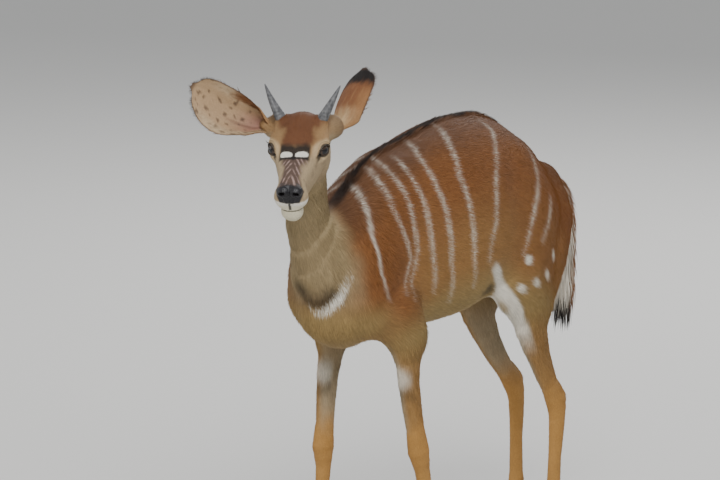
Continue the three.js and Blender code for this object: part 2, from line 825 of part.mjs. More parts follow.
// The thin cuts that part the body: nape, foot of the neck, loins, legs, knees and hocks
const neckCut = placed(slab(vec(0, -10, -69), 22, seam, 200, 250), headMatrix);
const cuts = [
  neckCut,
  slab(vec(0, -168, 752), 52, seam, 400, 420),
  slab(vec(0, 105, 760), 90, seam, 400, 520),
  slab(vec(0, 318, 780), 90, seam, 400, 520),
  slab(vec(0, -20, 497), 0, seam, 400, 420),
  slab(vec(0, 500, 562), 13.5, seam, 400, 420),
  slab(vec(0, 250, 258), 0, seam, 400, 1100),
];
for (const leg of legs) {
  const foot = leg.stations[leg.stations.length - 1].at;
  cuts.push(slab(vec(foot.x, foot.y - 7.3, seam), -14.04, 60, 60, 90));
  for (const side of [1, -1]) cuts.push(dewclaw(leg, side, seam));
}
cuts.push(tailCore(seam));

// Names a piece of the parted body from the middle of its bounds.
function regionOf(middle) {
  const hand = middle.x > 0 ? "left" : "right";
  if (middle.z > 860 && middle.y < -200) return "head";
  if (middle.z > 700 && middle.y < -110) return "neck";
  if (middle.z > 600 && middle.y < 105) return "torso_shoulders";
  if (middle.z > 600 && middle.y < 318) return "torso_barrel";
  if (middle.z > 600) return "torso_haunches";
  const place = middle.y < 200 ? "foreleg" : "hindleg";
  return `${place}_${middle.z > 258 ? "upper" : "lower"}_${hand}`;
}

const hide = joined([trunkBody, ...legs.map(legBody), placed(face, headMatrix), crest()]);
const nodes = {};
for (const piece of hide.subtract(joined(cuts)).decompose()) {
  const { min, max } = piece.boundingBox();
  const name = regionOf(vec((min[0] + max[0]) / 2, (min[1] + max[1]) / 2, (min[2] + max[2]) / 2));
  if (!nodes[name] || piece.volume() > nodes[name].volume()) nodes[name] = piece;
}
for (const leaf of ears) nodes[leaf.name] = placed(ear(leaf), headMatrix);
for (const side of [1, -1]) {
  const hand = side > 0 ? "left" : "right";
  const eye = vec(side * eyePlace.x, eyePlace.y, eyePlace.z);
  nodes[`horn_${hand}`] = placed(horn(side, 0), headMatrix);
  nodes[`eye_${hand}`] = placed(ball(eye, eyeRadius, 14), headMatrix);
}
for (const leg of legs) {
  for (const inner of [true, false]) {
    const place = `${leg.name}_${inner ? "inner" : "outer"}`;
    nodes[`hoof_${place}`] = claw(leg, inner);
    nodes[`dewclaw_${place}`] = dewclaw(leg, inner ? -leg.side : leg.side);
  }
}
nodes.tail = joined([tailCore(0), tailBrush()]);

// The finish of a node, from the first word of its name
const finishes = {
  head: rufous,
  neck: greyBrown,
  torso: rufous,
  foreleg: tawny,
  hindleg: tawny,
  ear: earSkin,
  horn: hornGrey,
  eye: eyeDark,
  hoof: hoofBlack,
  dewclaw: hoofBlack,
  tail: tailBrown,
};

const animal = new THREE.Group();
animal.name = "nyala";
for (const [name, form] of Object.entries(nodes)) {
  const mesh = new THREE.Mesh(
    meshOf(largest(form)),
    new THREE.MeshStandardMaterial(finishes[name.split("_")[0]]),
  );
  mesh.name = name;
  animal.add(mesh);
}

// The animal stands with the middle of its bounds over the origin.
const bounds = new THREE.Box3().setFromObject(animal);
const shift = bounds.getCenter(vec(0, 0, 0)).negate().setZ(0);
for (const mesh of animal.children) mesh.geometry.translate(shift.x, shift.y, 0);

export default animal;
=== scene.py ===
# A young male nyala, life size, standing with its head turned to its left.
# The body's forms are in millimetres and are turned to metres when a mesh is made.
import math

import bpy
import numpy as np
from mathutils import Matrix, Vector


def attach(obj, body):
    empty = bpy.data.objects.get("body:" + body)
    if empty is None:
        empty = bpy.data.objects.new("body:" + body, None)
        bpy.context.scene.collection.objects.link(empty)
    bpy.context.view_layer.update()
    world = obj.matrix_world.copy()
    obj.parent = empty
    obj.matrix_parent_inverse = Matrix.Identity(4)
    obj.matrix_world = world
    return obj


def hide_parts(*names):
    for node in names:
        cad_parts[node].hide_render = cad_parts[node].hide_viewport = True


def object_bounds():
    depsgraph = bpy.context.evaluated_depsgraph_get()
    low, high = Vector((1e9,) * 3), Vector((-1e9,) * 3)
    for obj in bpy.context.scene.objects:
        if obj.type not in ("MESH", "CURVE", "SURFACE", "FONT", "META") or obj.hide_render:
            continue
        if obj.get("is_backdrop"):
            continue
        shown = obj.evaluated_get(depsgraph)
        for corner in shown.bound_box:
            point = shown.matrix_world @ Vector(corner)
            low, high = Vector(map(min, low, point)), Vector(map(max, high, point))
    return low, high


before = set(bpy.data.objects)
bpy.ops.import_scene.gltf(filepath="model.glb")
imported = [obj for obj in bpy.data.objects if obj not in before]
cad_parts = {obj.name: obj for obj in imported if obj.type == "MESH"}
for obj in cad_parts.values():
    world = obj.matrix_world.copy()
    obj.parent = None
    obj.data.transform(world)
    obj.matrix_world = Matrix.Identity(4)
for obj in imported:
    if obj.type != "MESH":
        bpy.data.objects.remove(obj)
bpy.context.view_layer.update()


def unit(way):
    return np.array(way, float) / np.linalg.norm(way)


def lengths(rows):
    return np.linalg.norm(rows, axis=1)


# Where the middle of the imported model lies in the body's own millimetres
MIDDLE = np.array([-18.4786, 147.1195, 0.0])
METRE = 0.001

# View of the photograph
VIEW_AZIMUTH = 36.0
VIEW_ELEVATION = 10.0
VIEW_DISTANCE = 12.0
VIEW_LENS = 312.5
VIEW_TARGET = (0.0163, -0.1833, 0.7012)

# Sizes of the animal, as in the solids
WITHERS_HEIGHT = 862.0
TRUNK_FRONT = -195.0
TRUNK_REAR = 622.0
LEG_SPREAD = 86.0
HEAD_PLACE = np.array([-3.0, -209.0, 931.0])
HEAD_PITCH = math.radians(18)
HEAD_YAW = math.radians(28)
BACK_SPAN = (-130, 600)
SIDES = (("left", 1), ("right", -1))

# Side, whether a foreleg, swing backwards and splay outwards of each leg
LEGS = ((1, True, 74, 4), (-1, True, -56, 6), (1, False, -62, 2), (-1, False, 66, 2))

# Depth of the coat over the skin
BODY_COAT = 3.6
FACE_COAT = 1.2
SHANK_COAT = 1.6

# Fineness of the skin
SKIN_CELL = 6.5
EYE_RADIUS = 14.5
EYE_PLACE = np.array([42.0, -96.0, 14.0])
HORN_PLACE = np.array([36.0, -44.0, 47.0])
EAR_PLACE = np.array([51.0, -10.0, 24.0])
NOSE_TIP = 232.0
# The eye looks out and forward; the lids lie square to that and slant a little
GAZE = unit((0.80, -0.57, 0.18))
LID_FORE = unit(np.cross(GAZE, (0, 0, 1)))
LID_UP = np.cross(LID_FORE, GAZE)
LID_SLANT = 0.2
LID_REACH = 16.0
LID_HIGH = 8.8
LID_LOW = 7.2

CHESTNUT = (0.205, 0.082, 0.026)
BACK_BROWN = (0.125, 0.058, 0.028)
FLANK_TAN = (0.265, 0.140, 0.048)
BELLY_OLIVE = (0.290, 0.200, 0.078)
NECK_GREY = (0.285, 0.218, 0.116)
FOREHEAD = (0.120, 0.046, 0.018)
GOLD = (0.262, 0.146, 0.058)
CHEEK_TAN = (0.355, 0.266, 0.158)
TAWNY = (0.370, 0.190, 0.050)
PALE_LEG = (0.340, 0.270, 0.170)
WHITE = (0.700, 0.665, 0.580)
CREAM = (0.640, 0.590, 0.430)
BLACK_BROWN = (0.010, 0.007, 0.006)
EAR_BUFF = (0.370, 0.245, 0.135)


def profile(*pairs):
    """A smooth curve through (place, value) pairs, flat outside its ends."""
    xs, ys = np.array(pairs, float).T
    steps = np.diff(ys) / np.diff(xs)
    slopes = np.zeros(len(xs))
    before, after = steps[:-1], steps[1:]
    rising = before * after > 0
    total = np.where(rising, before + after, 1.0)
    slopes[1:-1] = np.where(rising, 2 * before * after / total, 0.0)

    def curve(place):
        place = np.clip(place, xs[0], xs[-1])
        i = np.clip(np.searchsorted(xs, place, side="right") - 1, 0, len(xs) - 2)
        span = xs[i + 1] - xs[i]
        t = (place - xs[i]) / span
        hump = t * t * (3 - 2 * t)
        bow = span * t * (1 - t) * (slopes[i] * (1 - t) - slopes[i + 1] * t)
        return ys[i] + (ys[i + 1] - ys[i]) * hump + bow

    return curve


def smooth(low, high, value):
    t = np.clip((value - low) / (high - low), 0.0, 1.0)
    return t * t * (3 - 2 * t)


def centripetal(points, places):
    """Points along the smooth route through the given points, at places from 0 to 1."""
    points = np.asarray(points, float)
    last = len(points) - 1
    out = []
    for place in places:
        at = place * last
        i = min(int(at), last - 1)
        t = at - i
        p1, p2 = points[i], points[i + 1]
        p0 = points[i - 1] if i > 0 else 2 * p1 - p2
        p3 = points[i + 2] if i + 2 <= last else 2 * p2 - p1
        d0, d1, d2 = (math.sqrt(max(np.linalg.norm(side), 1e-8)) for side in (p1 - p0, p2 - p1, p3 - p2))
        m1 = ((p1 - p0) / d0 - (p2 - p0) / (d0 + d1) + (p2 - p1) / d1) * d1
        m2 = ((p2 - p1) / d1 - (p3 - p1) / (d1 + d2) + (p3 - p2) / d2) * d1
        a2 = -3 * p1 + 3 * p2 - 2 * m1 - m2
        a3 = 2 * p1 - 2 * p2 + m1 + m2
        out.append(p1 + m1 * t + a2 * t * t + a3 * t * t * t)
    return np.array(out)


# Fields: each gives roughly the distance to a form's surface, negative inside it.

def blend(a, b, softness):
    near = np.maximum(softness - np.abs(a - b), 0.0) / softness
    return np.minimum(a, b) - near * near * softness * 0.25


def oval(u, v, wide, high):
    p, q = u / wide, v / high
    size = np.hypot(p, q)
    steep = np.maximum(np.hypot(p / wide, q / high), 1e-9)
    return np.where(size < 1e-6, -np.minimum(wide, high), (size - 1) * size / steep)


def ellipsoid(p, middle, radii, tilt=0.0):
    """An ellipsoid turned about the X axis: a positive tilt swings its top backwards."""
    tilt = math.radians(tilt)
    d = p - np.array(middle, float)
    along = d[:, 1] * math.cos(tilt) - d[:, 2] * math.sin(tilt)
    up = d[:, 1] * math.sin(tilt) + d[:, 2] * math.cos(tilt)
    u, v, w = d[:, 0] / radii[0], along / radii[1], up / radii[2]
    size = np.sqrt(u * u + v * v + w * w)
    steep = np.maximum(np.sqrt((u / radii[0]) ** 2 + (v / radii[1]) ** 2 + (w / radii[2]) ** 2), 1e-9)
    return np.where(size < 1e-6, -min(radii), (size - 1) * size / steep)


def stations(rows, steps=2):
    """Rows of x, y, z, half width and half depth, refined along a smooth route."""
    rows = np.array(rows, float)
    count = (len(rows) - 1) * steps
    along = np.arange(count + 1) / count
    route = centripetal(rows[:, :3], along)
    place = along * (len(rows) - 1)
    i = np.minimum(place.astype(int), len(rows) - 2)
    t = place - i
    ease = (t * t * (3 - 2 * t) * 0.5 + t * 0.5)[:, None]
    return np.hstack([route, rows[i, 3:] * (1 - ease) + rows[i + 1, 3:] * ease])


FAR = 400.0
LIMB_REACH = 60.0


def limb(p, rows):
    """Distance to a limb that follows refined stations; far beyond its reach it is simply far."""
    out = np.full(len(p), FAR)
    size = rows[:, 3:].max() + LIMB_REACH
    low, high = rows[:, :3].min(0) - size, rows[:, :3].max(0) + size
    near = np.flatnonzero(((p > low) & (p < high)).all(1))
    q = p[near]
    best = np.full(len(q), FAR)
    for a, b in zip(rows[:-1], rows[1:]):
        way = b[:3] - a[:3]
        t = np.clip((q - a[:3]) @ way / (way @ way), 0.0, 1.0)
        off = q - a[:3] - t[:, None] * way
        depth = np.hypot(off[:, 1], off[:, 2])
        best = np.minimum(best, oval(off[:, 0], depth, a[3] + (b[3] - a[3]) * t, a[4] + (b[4] - a[4]) * t))
    out[near] = best
    return out


back_line = profile(
    (TRUNK_FRONT, 690), (-135, 768), (-70, 828), (0, WITHERS_HEIGHT), (80, 880), (160, 897), (240, 907),
    (310, 905), (385, 886), (455, 836), (530, 776), (590, 718), (TRUNK_REAR, 686),
)
belly_line = profile(
    (TRUNK_FRONT, 606), (-165, 560), (-100, 507), (0, 503), (110, 510), (210, 514), (290, 530),
    (360, 562), (430, 600), (530, 628), (TRUNK_REAR, 652),
)
half_width = profile(
    (TRUNK_FRONT, 46), (-120, 86), (0, 104), (100, 122), (200, 134), (280, 130), (360, 110),
    (450, 96), (540, 78), (TRUNK_REAR, 34),
)
widest_level = profile((TRUNK_FRONT, 646), (0, 656), (200, 654), (300, 668), (410, 716), (TRUNK_REAR, 668))


def barrel(p, front, rear, level_at, top_at, bottom_at, width_at):
    """A long body of oval sections between a top and a bottom line, rounded off past its ends."""
    y = np.clip(p[:, 1], front, rear)
    level = level_at(y)
    high = np.where(p[:, 2] > level, top_at(y) - level, level - bottom_at(y))
    section = oval(p[:, 0], p[:, 2] - level, width_at(y), high)
    beyond = np.abs(p[:, 1] - y)
    capped = np.hypot(np.maximum(section, 0), beyond) + np.minimum(section, 0) * 0.2
    return np.where(beyond > 0, capped, section)


def trunk(p):
    return barrel(p, TRUNK_FRONT, TRUNK_REAR, widest_level, back_line, belly_line, half_width)


NECK = stations([
    (0, -60, 680, 74, 100), (-3, -136, 698, 58, 84), (-8, -186, 735, 40, 56), (-6, -203, 790, 37, 52),
    (-5, -208, 850, 37, 49), (-4, -209, 905, 37, 46), (-3, -208, 925, 36, 42),
])

# Rows of the left limbs: x, y, share of the swing, z, half width, half depth
SHOULDER = (
    (26, 30, 0, 806, 13, 34), (52, -24, 0, 742, 27, 54), (70, -82, 0, 662, 34, 60),
    (76, -98, 0, 604, 35, 54), (82, -50, 0, 560, 37, 50), (LEG_SPREAD, -8, 0.05, 522, 34, 44),
)
THIGH = (
    (46, 408, 0, 774, 30, 60), (66, 406, 0.1, 706, 42, 92), (78, 392, 0.26, 630, 45, 84),
    (87, 386, 0.36, 566, 40, 64),
)
HAM = (
    (40, 522, 0, 728, 30, 52), (52, 536, 0.06, 666, 39, 56), (68, 512, 0.26, 602, 36, 58),
    (80, 470, 0.46, 522, 31, 46),
)

# The same for whole legs, down to the crown of the hoof, with the share of the splay in the place of x
FORE_LEG = (
    (0, -28, 0, 572, 34, 46), (0.1, -8, 0.05, 508, 27, 37), (0.2, -14, 0.2, 430, 21.5, 27),
    (0.4, -10, 0.42, 335, 18.5, 21.5), (0.5, -8, 0.54, 288, 21.5, 24.5), (0.6, -2, 0.62, 248, 15.5, 18),
    (0.8, 1, 0.78, 180, 12.8, 15.5), (0.9, 2, 0.92, 122, 14, 17), (1, 1, 0.97, 92, 17.5, 20),
    (1, -11, 1, 60, 15.5, 17), (1, -21, 1, 38, 19.5, 22), (1, -25, 1, 24, 19.5, 22),
)
HIND_LEG = (
    (-0.8, 440, 0.1, 690, 30, 60), (-0.4, 424, 0.25, 620, 36, 66), (0, 425, 0.38, 552, 36, 62),
    (0.3, 444, 0.5, 484, 28.5, 46), (0.4, 484, 0.6, 405, 20.5, 31), (0.5, 524, 0.72, 348, 17, 24),
    (0.6, 553, 0.8, 313, 19.5, 28), (0.6, 562, 0.86, 274, 16, 21), (0.7, 558, 0.92, 195, 13, 16.5),
    (0.9, 556, 0.97, 124, 14, 17.5), (1, 555, 0.99, 94, 17.5, 20.5), (1, 543, 1, 61, 15.5, 17),
    (1, 533, 1, 38, 19.5, 22), (1, 529, 1, 24, 19.5, 22),
)


def own_limb(rows, side, swing):
    return stations([(side * x, y + swing * share, z, wide, deep) for x, y, share, z, wide, deep in rows])


LEG_ROUTES, LEG_MUSCLES = [], []
for side, fore, swing, splay in LEGS:
    spread = [(LEG_SPREAD + splay * row[0], *row[1:]) for row in (FORE_LEG if fore else HIND_LEG)]
    LEG_ROUTES.append((side, own_limb(spread, side, swing)))
    LEG_MUSCLES += [own_limb(rows, side, swing) for rows in ((SHOULDER,) if fore else (THIGH, HAM))]

# Ears in the head's frame: name, side, root, way to the tip, way that they open, bend
EAR_LENGTH = 172.0
EAR_SKEW = 0.28
EARS = (
    ("left", 1, (53, -4, 22), (0.24, 0.95, 0.20), (0.42, 0.81, -0.41), -6),
    ("right", -1, (-62, -14, 18), (-0.87, 0.05, 0.49), (0.20, -0.97, 0.10), 8),
)
EAR_KNOB = 13.0

# The head's own frame: x to its left, y back along the face, z out of the forehead
crown_line = profile(
    (-NOSE_TIP, -10), (-224, 5), (-196, 14), (-150, 26), (-118, 41), (-88, 57), (-52, 66), (-15, 55),
    (12, 32), (34, 2),
)
jaw_line = profile(
    (-NOSE_TIP, -36), (-216, -67), (-190, -75), (-150, -71), (-105, -70), (-60, -72), (-25, -72),
    (8, -62), (34, -40),
)
face_width = profile(
    (-NOSE_TIP, 12), (-222, 22), (-200, 25.5), (-162, 31), (-125, 41), (-90, 49), (-45, 50), (0, 43),
    (34, 26),
)
face_level = profile((-NOSE_TIP, -14), (-180, -8), (-90, 8), (-30, 6), (34, -16))

cy, sy, cp, sp = math.cos(HEAD_YAW), math.sin(HEAD_YAW), math.cos(HEAD_PITCH), math.sin(HEAD_PITCH)
HEAD_TURN = np.array([[cy, -sy, 0], [sy, cy, 0], [0, 0, 1]])
HEAD_TURN = HEAD_TURN @ np.array([[1, 0, 0], [0, cp, -sp], [0, sp, cp]])


def to_head(p):
    return (p - HEAD_PLACE) @ HEAD_TURN


def from_head(p):
    return np.asarray(p, float) @ HEAD_TURN.T + HEAD_PLACE


def turned_by_head(ways):
    return np.asarray(ways, float) @ HEAD_TURN.T


def mirrored(p):
    """The points with those of the right side laid over the left."""
    return np.column_stack([np.abs(p[:, 0]), p[:, 1], p[:, 2]])


def ear_axes(way, facing):
    """Square unit vectors along the ear and out of its opening."""
    way = unit(way)
    facing = np.array(facing, float)
    return way, unit(facing - way * (way @ facing))


# Forms that are blended onto the head: middle, radii, tilt, softness
HEAD_FORMS = (
    (EYE_PLACE, (18, 21, 19), 0, 14),
    ((42, -74, 29), (13, 26, 10), -14, 14),
    ((32, -40, -34), (17, 40, 30), 12, 16),
    ((16.5, -206, -28), (17, 23, 21), 12, 9),
    ((0, -203, -61), (22, 20, 18.5), 10, 8),
    ((11, -224, -7), (15, 13, 12), -10, 7),
    (HORN_PLACE, (14, 14, 12), 0, 16),
    (EAR_PLACE, (19, 21, 21), 0, 20),
)


def head(p):
    d = barrel(p, -NOSE_TIP, 34, face_level, crown_line, jaw_line, face_width)
    q = mirrored(p)
    for middle, radii, tilt, softness in HEAD_FORMS:
        d = blend(d, ellipsoid(q, middle, radii, tilt), softness)
    for _, _, root, way, facing, _ in EARS:
        way, facing = ear_axes(way, facing)
        knob = np.array(root) + facing * 10.5 + way * 1
        along = np.clip((p - knob) @ way, 0, 13)
        d = blend(d, lengths(p - knob - along[:, None] * way) - EAR_KNOB + along * 0.3, 26)
    return d


def by_head(p):
    """Which points lie high and forward enough to be the head's or the throat's."""
    return (p[:, 2] > 780) & (p[:, 1] < -120)


def whole(p):
    """The whole animal as one field, with the joins between its forms softened."""
    d = blend(trunk(p), limb(p, NECK), 45)
    d = blend(d, ellipsoid(p, (0, -122, 572), (74, 62, 62), 20), 40)
    for muscle in LEG_MUSCLES:
        d = blend(d, limb(p, muscle), 40)
    for _, route in LEG_ROUTES:
        d = blend(d, limb(p, route), 30)
    facing = np.flatnonzero((p[:, 2] > 780) & (p[:, 1] < -100))
    d[facing] = blend(d[facing], head(to_head(p[facing])), 24)
    return d


def coat_depth(p):
    """How far the skin lies under the outline: least on the face and the shanks."""
    h = to_head(p)
    face = smooth(40, -40, h[:, 1]) * smooth(-130, -70, h[:, 2])
    shank = smooth(420, 260, p[:, 2])
    depth = BODY_COAT + (FACE_COAT - BODY_COAT) * face
    return depth + (SHANK_COAT - depth) * shank


# Between the hams, where three blends add up to a knob
RUMP_MIDDLE = np.array([0.0, 622.0, 678.0])
RUMP_CUT = 17.0


def skin_field(p):
    rump = smooth(64, 16, lengths((p - RUMP_MIDDLE) / (0.75, 1.0, 1.1)))
    return whole(p) + coat_depth(p) + RUMP_CUT * rump


# Skin: a net of cells over the field, made finer where the form needs it

def surface_net(field, low, high, cell):
    """A closed triangle mesh of the field's zero surface, one point in each cell that it crosses."""
    shape = np.ceil((np.array(high) - low) / cell).astype(int) + 1
    axes = [low[k] + cell * np.arange(shape[k]) for k in range(3)]
    values = np.empty(shape)
    for i, x in enumerate(axes[0]):
        y, z = np.meshgrid(axes[1], axes[2], indexing="ij")
        layer = np.column_stack([np.full(y.size, x), y.ravel(), z.ravel()])
        values[i] = field(layer).reshape(shape[1:])
    inside = values < 0
    cells = tuple(shape - 1)
    total = np.zeros(cells + (3,))
    count = np.zeros(cells)
    quads = []
    number = np.arange(np.prod(cells)).reshape(cells)
    for axis in range(3):
        a = [slice(None)] * 3
        b = [slice(None)] * 3
        a[axis], b[axis] = slice(None, -1), slice(1, None)
        va, vb = values[tuple(a)], values[tuple(b)]
        crossed = inside[tuple(a)] != inside[tuple(b)]
        idx = np.argwhere(crossed)
        t = va[crossed] / (va[crossed] - vb[crossed])
        place = idx.astype(float)
        place[:, axis] += t
        u, v = (axis + 1) % 3, (axis + 2) % 3
        around = []
        for du, dv in ((-1, -1), (0, -1), (0, 0), (-1, 0)):
            home = idx.copy()
            home[:, u] += du
            home[:, v] += dv
            np.add.at(total, tuple(home.T), place)
            np.add.at(count, tuple(home.T), 1)
            around.append(number[tuple(home.T)])
        quad = np.column_stack(around)
        leaving = inside[tuple(a)][crossed]
        quads.append(np.where(leaving[:, None], quad, quad[:, ::-1]))
    quads = np.vstack(quads)
    used = np.flatnonzero(count.ravel())
    lookup = np.full(count.size, -1)
    lookup[used] = np.arange(len(used))
    points = total.reshape(-1, 3)[used] / count.ravel()[used, None] * cell + np.array(low)
    return points, lookup[quads]


def gradient(field, p, step=0.8):
    out = np.empty_like(p)
    for k in range(3):
        shift = np.zeros(3)
        shift[k] = step
        out[:, k] = (field(p + shift) - field(p - shift)) / (2 * step)
    return out


def settle(field, p, chosen):
    """Moves the chosen points onto the field's zero surface, in two steps of 4 mm at most."""
    for _ in range(2):
        q = p[chosen]
        slope = gradient(field, q)
        square = np.maximum((slope * slope).sum(1), 0.05)
        move = -slope * (field(q) / square)[:, None]
        size = np.linalg.norm(move, axis=1, keepdims=True)
        p[chosen] = q + move * np.minimum(1.0, 4.0 / np.maximum(size, 1e-9))
    return p


def point_normals(points, tris):
    a, b, c = points[tris[:, 0]], points[tris[:, 1]], points[tris[:, 2]]
    face = np.cross(b - a, c - a)
    out = np.zeros_like(points)
    for k in range(3):
        np.add.at(out, tris[:, k], face)
    return out / np.maximum(np.linalg.norm(out, axis=1, keepdims=True), 1e-12)


def edges_of(tris):
    pairs = np.sort(np.vstack([tris[:, [0, 1]], tris[:, [1, 2]], tris[:, [2, 0]]]), axis=1)
    return np.unique(pairs, axis=0, return_inverse=True)


def eased(points, tris, strength, rounds, chosen=None):
    """Slides points towards the middle of their neighbours, along the surface only."""
    edges, _ = edges_of(tris)
    degree = np.bincount(edges.ravel(), minlength=len(points))[:, None]
    for _ in range(rounds):
        total = np.zeros_like(points)
        np.add.at(total, edges[:, 0], points[edges[:, 1]])
        np.add.at(total, edges[:, 1], points[edges[:, 0]])
        pull = total / degree - points
        normal = point_normals(points, tris)
        pull -= normal * (pull * normal).sum(1, keepdims=True)
        if chosen is not None:
            pull[~chosen] = 0
        points = points + pull * strength
    return points


def refined(points, tris, corners, marked):
    """Splits every edge whose two ends are marked; corners hold a value pair at each triangle corner."""
    edges, inverse = edges_of(tris)
    split = marked[edges].all(1)
    middle = np.full(len(edges), -1)
    middle[split] = len(points) + np.arange(split.sum())
    points = np.vstack([points, points[edges[split]].mean(1)])
    n = len(tris)
    m = middle[inverse.reshape(3, n).T]
    kind = (m >= 0).sum(1)
    new_tris, new_corners = [tris[kind == 0]], [corners[kind == 0]]

    def add(rows, order, verts, uvs):
        new_tris.append(verts[rows][:, order])
        new_corners.append(uvs[rows][:, order])

    # Turn each triangle so that its split edges come first
    turn = np.zeros(n, int)
    one, two = kind == 1, kind == 2
    turn[one] = (m[one] >= 0).argmax(1)
    turn[two] = ((m[two] < 0).argmax(1) + 1) % 3
    order = (np.arange(3)[None, :] + turn[:, None]) % 3
    t = np.take_along_axis(tris, order, 1)
    m = np.take_along_axis(m, order, 1)
    c = np.take_along_axis(corners, order[:, :, None], 1)
    c_mid = (c + np.roll(c, -1, axis=1)) / 2
    verts = np.hstack([t, m])
    uvs = np.concatenate([c, c_mid], axis=1)
    every = np.arange(n)
    for order in ([0, 3, 2], [3, 1, 2]):
        add(every[one], order, verts, uvs)
    for order in ([3, 1, 4], [0, 3, 4], [0, 4, 2]):
        add(every[two], order, verts, uvs)
    for order in ([0, 3, 5], [3, 1, 4], [5, 4, 2], [3, 4, 5]):
        add(every[kind == 3], order, verts, uvs)
    return points, np.vstack(new_tris), np.concatenate(new_corners)


def shown(p):
    """From the body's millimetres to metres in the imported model's frame."""
    return (np.asarray(p, float) - MIDDLE) * METRE


def mesh_of(name, points, tris, corners=None, **values):
    """A plain mesh from arrays; values are kept as attributes of its points."""
    mesh = bpy.data.meshes.new(name)
    mesh.vertices.add(len(points))
    mesh.vertices.foreach_set("co", np.asarray(points, np.float32).ravel())
    mesh.loops.add(len(tris) * 3)
    mesh.loops.foreach_set("vertex_index", np.asarray(tris, np.int32).ravel())
    mesh.polygons.add(len(tris))
    mesh.polygons.foreach_set("loop_start", np.arange(0, len(tris) * 3, 3, dtype=np.int32))
    mesh.polygons.foreach_set("use_smooth", np.ones(len(tris), bool))
    mesh.update(calc_edges=True)
    if corners is not None:
        layer = mesh.uv_layers.new(name="OFBake")
        layer.uv.foreach_set("vector", np.asarray(corners, np.float32).ravel())
    for key, value in values.items():
        keep(mesh, key, value)
    return mesh


def keep(mesh, key, value):
    """Keeps whole numbers, numbers, vectors or the coat's colours as an attribute of the points."""
    if key in mesh.attributes:
        mesh.attributes.remove(mesh.attributes[key])
    value = np.asarray(value)
    if key == "coat":
        value = np.column_stack([value, np.ones(len(value))])
        kind, field = "FLOAT_COLOR", "color"
    elif value.ndim == 2:
        kind, field = "FLOAT_VECTOR", "vector"
    else:
        kind, field = ("INT" if key == "region" else "FLOAT"), "value"
    value = value.astype(np.int32 if key == "region" else np.float32)
    mesh.attributes.new(key, kind, "POINT").data.foreach_set(field, value.ravel())


def read(data, key, width):
    values = np.zeros(len(data) * width, np.float32)
    data.foreach_get(key, values)
    return values.reshape(-1, width).astype(float)


def place(name, mesh, finish=None):
    piece = bpy.data.objects.new(name, mesh)
    bpy.context.scene.collection.objects.link(piece)
    mesh.materials.clear()
    if finish:
        mesh.materials.append(finish)
    return piece


def unwrapped(points, tris):
    """Places of the triangles' corners on a flat unwrap of the surface."""
    piece = place("unwrap", mesh_of("unwrap", points * METRE, tris))
    piece.data.uv_layers.new(name="OFBake")
    bpy.ops.object.select_all(action="DESELECT")
    piece.select_set(True)
    bpy.context.view_layer.objects.active = piece
    bpy.ops.object.mode_set(mode="EDIT")
    bpy.ops.mesh.select_all(action="SELECT")
    bpy.ops.uv.smart_project(angle_limit=math.radians(72), island_margin=0.003)
    bpy.ops.object.mode_set(mode="OBJECT")
    mesh = piece.data
    corners = read(mesh.uv_layers["OFBake"].uv, "vector", 2)
    bpy.data.objects.remove(piece)
    bpy.data.meshes.remove(mesh)
    return corners.reshape(-1, 3, 2)


def route_distance(q, route):
    """Distance from points to a broken line, and the place along it from 0 to 1."""
    route = np.array(route, float)
    best = np.full(len(q), 1e9)
    where = np.zeros(len(q))
    for i, (a, b) in enumerate(zip(route[:-1], route[1:])):
        way = b - a
        t = np.clip((q - a) @ way / (way @ way), 0, 1)
        d = lengths(q - a - t[:, None] * way)
        nearer = d < best
        best = np.where(nearer, d, best)
        where = np.where(nearer, (i + t) / (len(route) - 1), where)
    return best, where


# Markings, each a route (y, z) along the flank seen from the side
STRIPES = (
    ((-82, 816), (-95, 781), (-113, 730), (-113, 661), (-96, 604)),
    ((-36, 844), (-43, 815), (-46, 772), (-29, 717), (-14, 674), (-41, 607)),
    ((-10, 862), (-11, 837), (1, 794), (6, 735), (9, 682), (-20, 593)),
    ((25, 858), (35, 821), (46, 772), (47, 716), (50, 666), (62, 593)),
    ((93, 878), (81, 854), (87, 806), (96, 756), (99, 704), (98, 650), (122, 565)),
    ((189, 899), (171, 867), (156, 810), (162, 764), (163, 710), (162, 651), (178, 588)),
    ((313, 893), (324, 873), (291, 834), (256, 780), (239, 715), (217, 673), (209, 635)),
    ((430, 830), (424, 792), (412, 764), (390, 723), (362, 675), (338, 631)),
    ((448, 735), (431, 687), (400, 646)),
)
STRIPE_WIDTH = 3.1
THIGH_SPOTS = ((335, 563), (376, 570), (419, 579), (354, 619), (452, 612))
THIGH_BAND = ((222, 632), (262, 600), (299, 566), (334, 522), (372, 475), (416, 406))
CRESCENT = ((69, 660), (60, 634), (49, 612), (36, 596), (20, 584), (3, 581), (-12, 592))
# Painted shade above the crescent, a route (x, z) seen from in front
THROAT_PAINTED_SHADE = ((-24, 630), (-13, 611), (5, 602), (24, 603), (41, 617))
SHEATH = np.array([0.0, 378.0, 562.0])
# The flank fold before the hind leg: dark hair, with painted shade in its recess
FLANK_FOLD = np.array([104.0, 250.0, 571.0])


def mix(colour, other, amount):
    amount = np.clip(amount, 0, 1)[:, None]
    return colour * (1 - amount) + np.array(other) * amount


def painted(colour, *layers):
    """A colour, or one for each point, under layers of another colour and its amount at each point."""
    colour = np.broadcast_to(colour, (len(layers[0][1]), 3))
    for other, amount in layers:
        colour = mix(colour, other, amount)
    return colour


def wander(p, scale, seed=0.0):
    """A smooth waver over space, about -1 to 1."""
    q = p / scale + seed
    a = np.sin(q[:, 0] * 1.7 + 2.1 * np.sin(q[:, 1] * 1.1 + q[:, 2] * 0.7))
    b = np.sin(q[:, 1] * 1.9 + 1.7 * np.sin(q[:, 2] * 1.3 - q[:, 0] * 0.9))
    c = np.sin(q[:, 2] * 1.5 + 1.9 * np.sin(q[:, 0] * 0.8 + q[:, 1] * 1.2))
    return (a + b + c) / 3


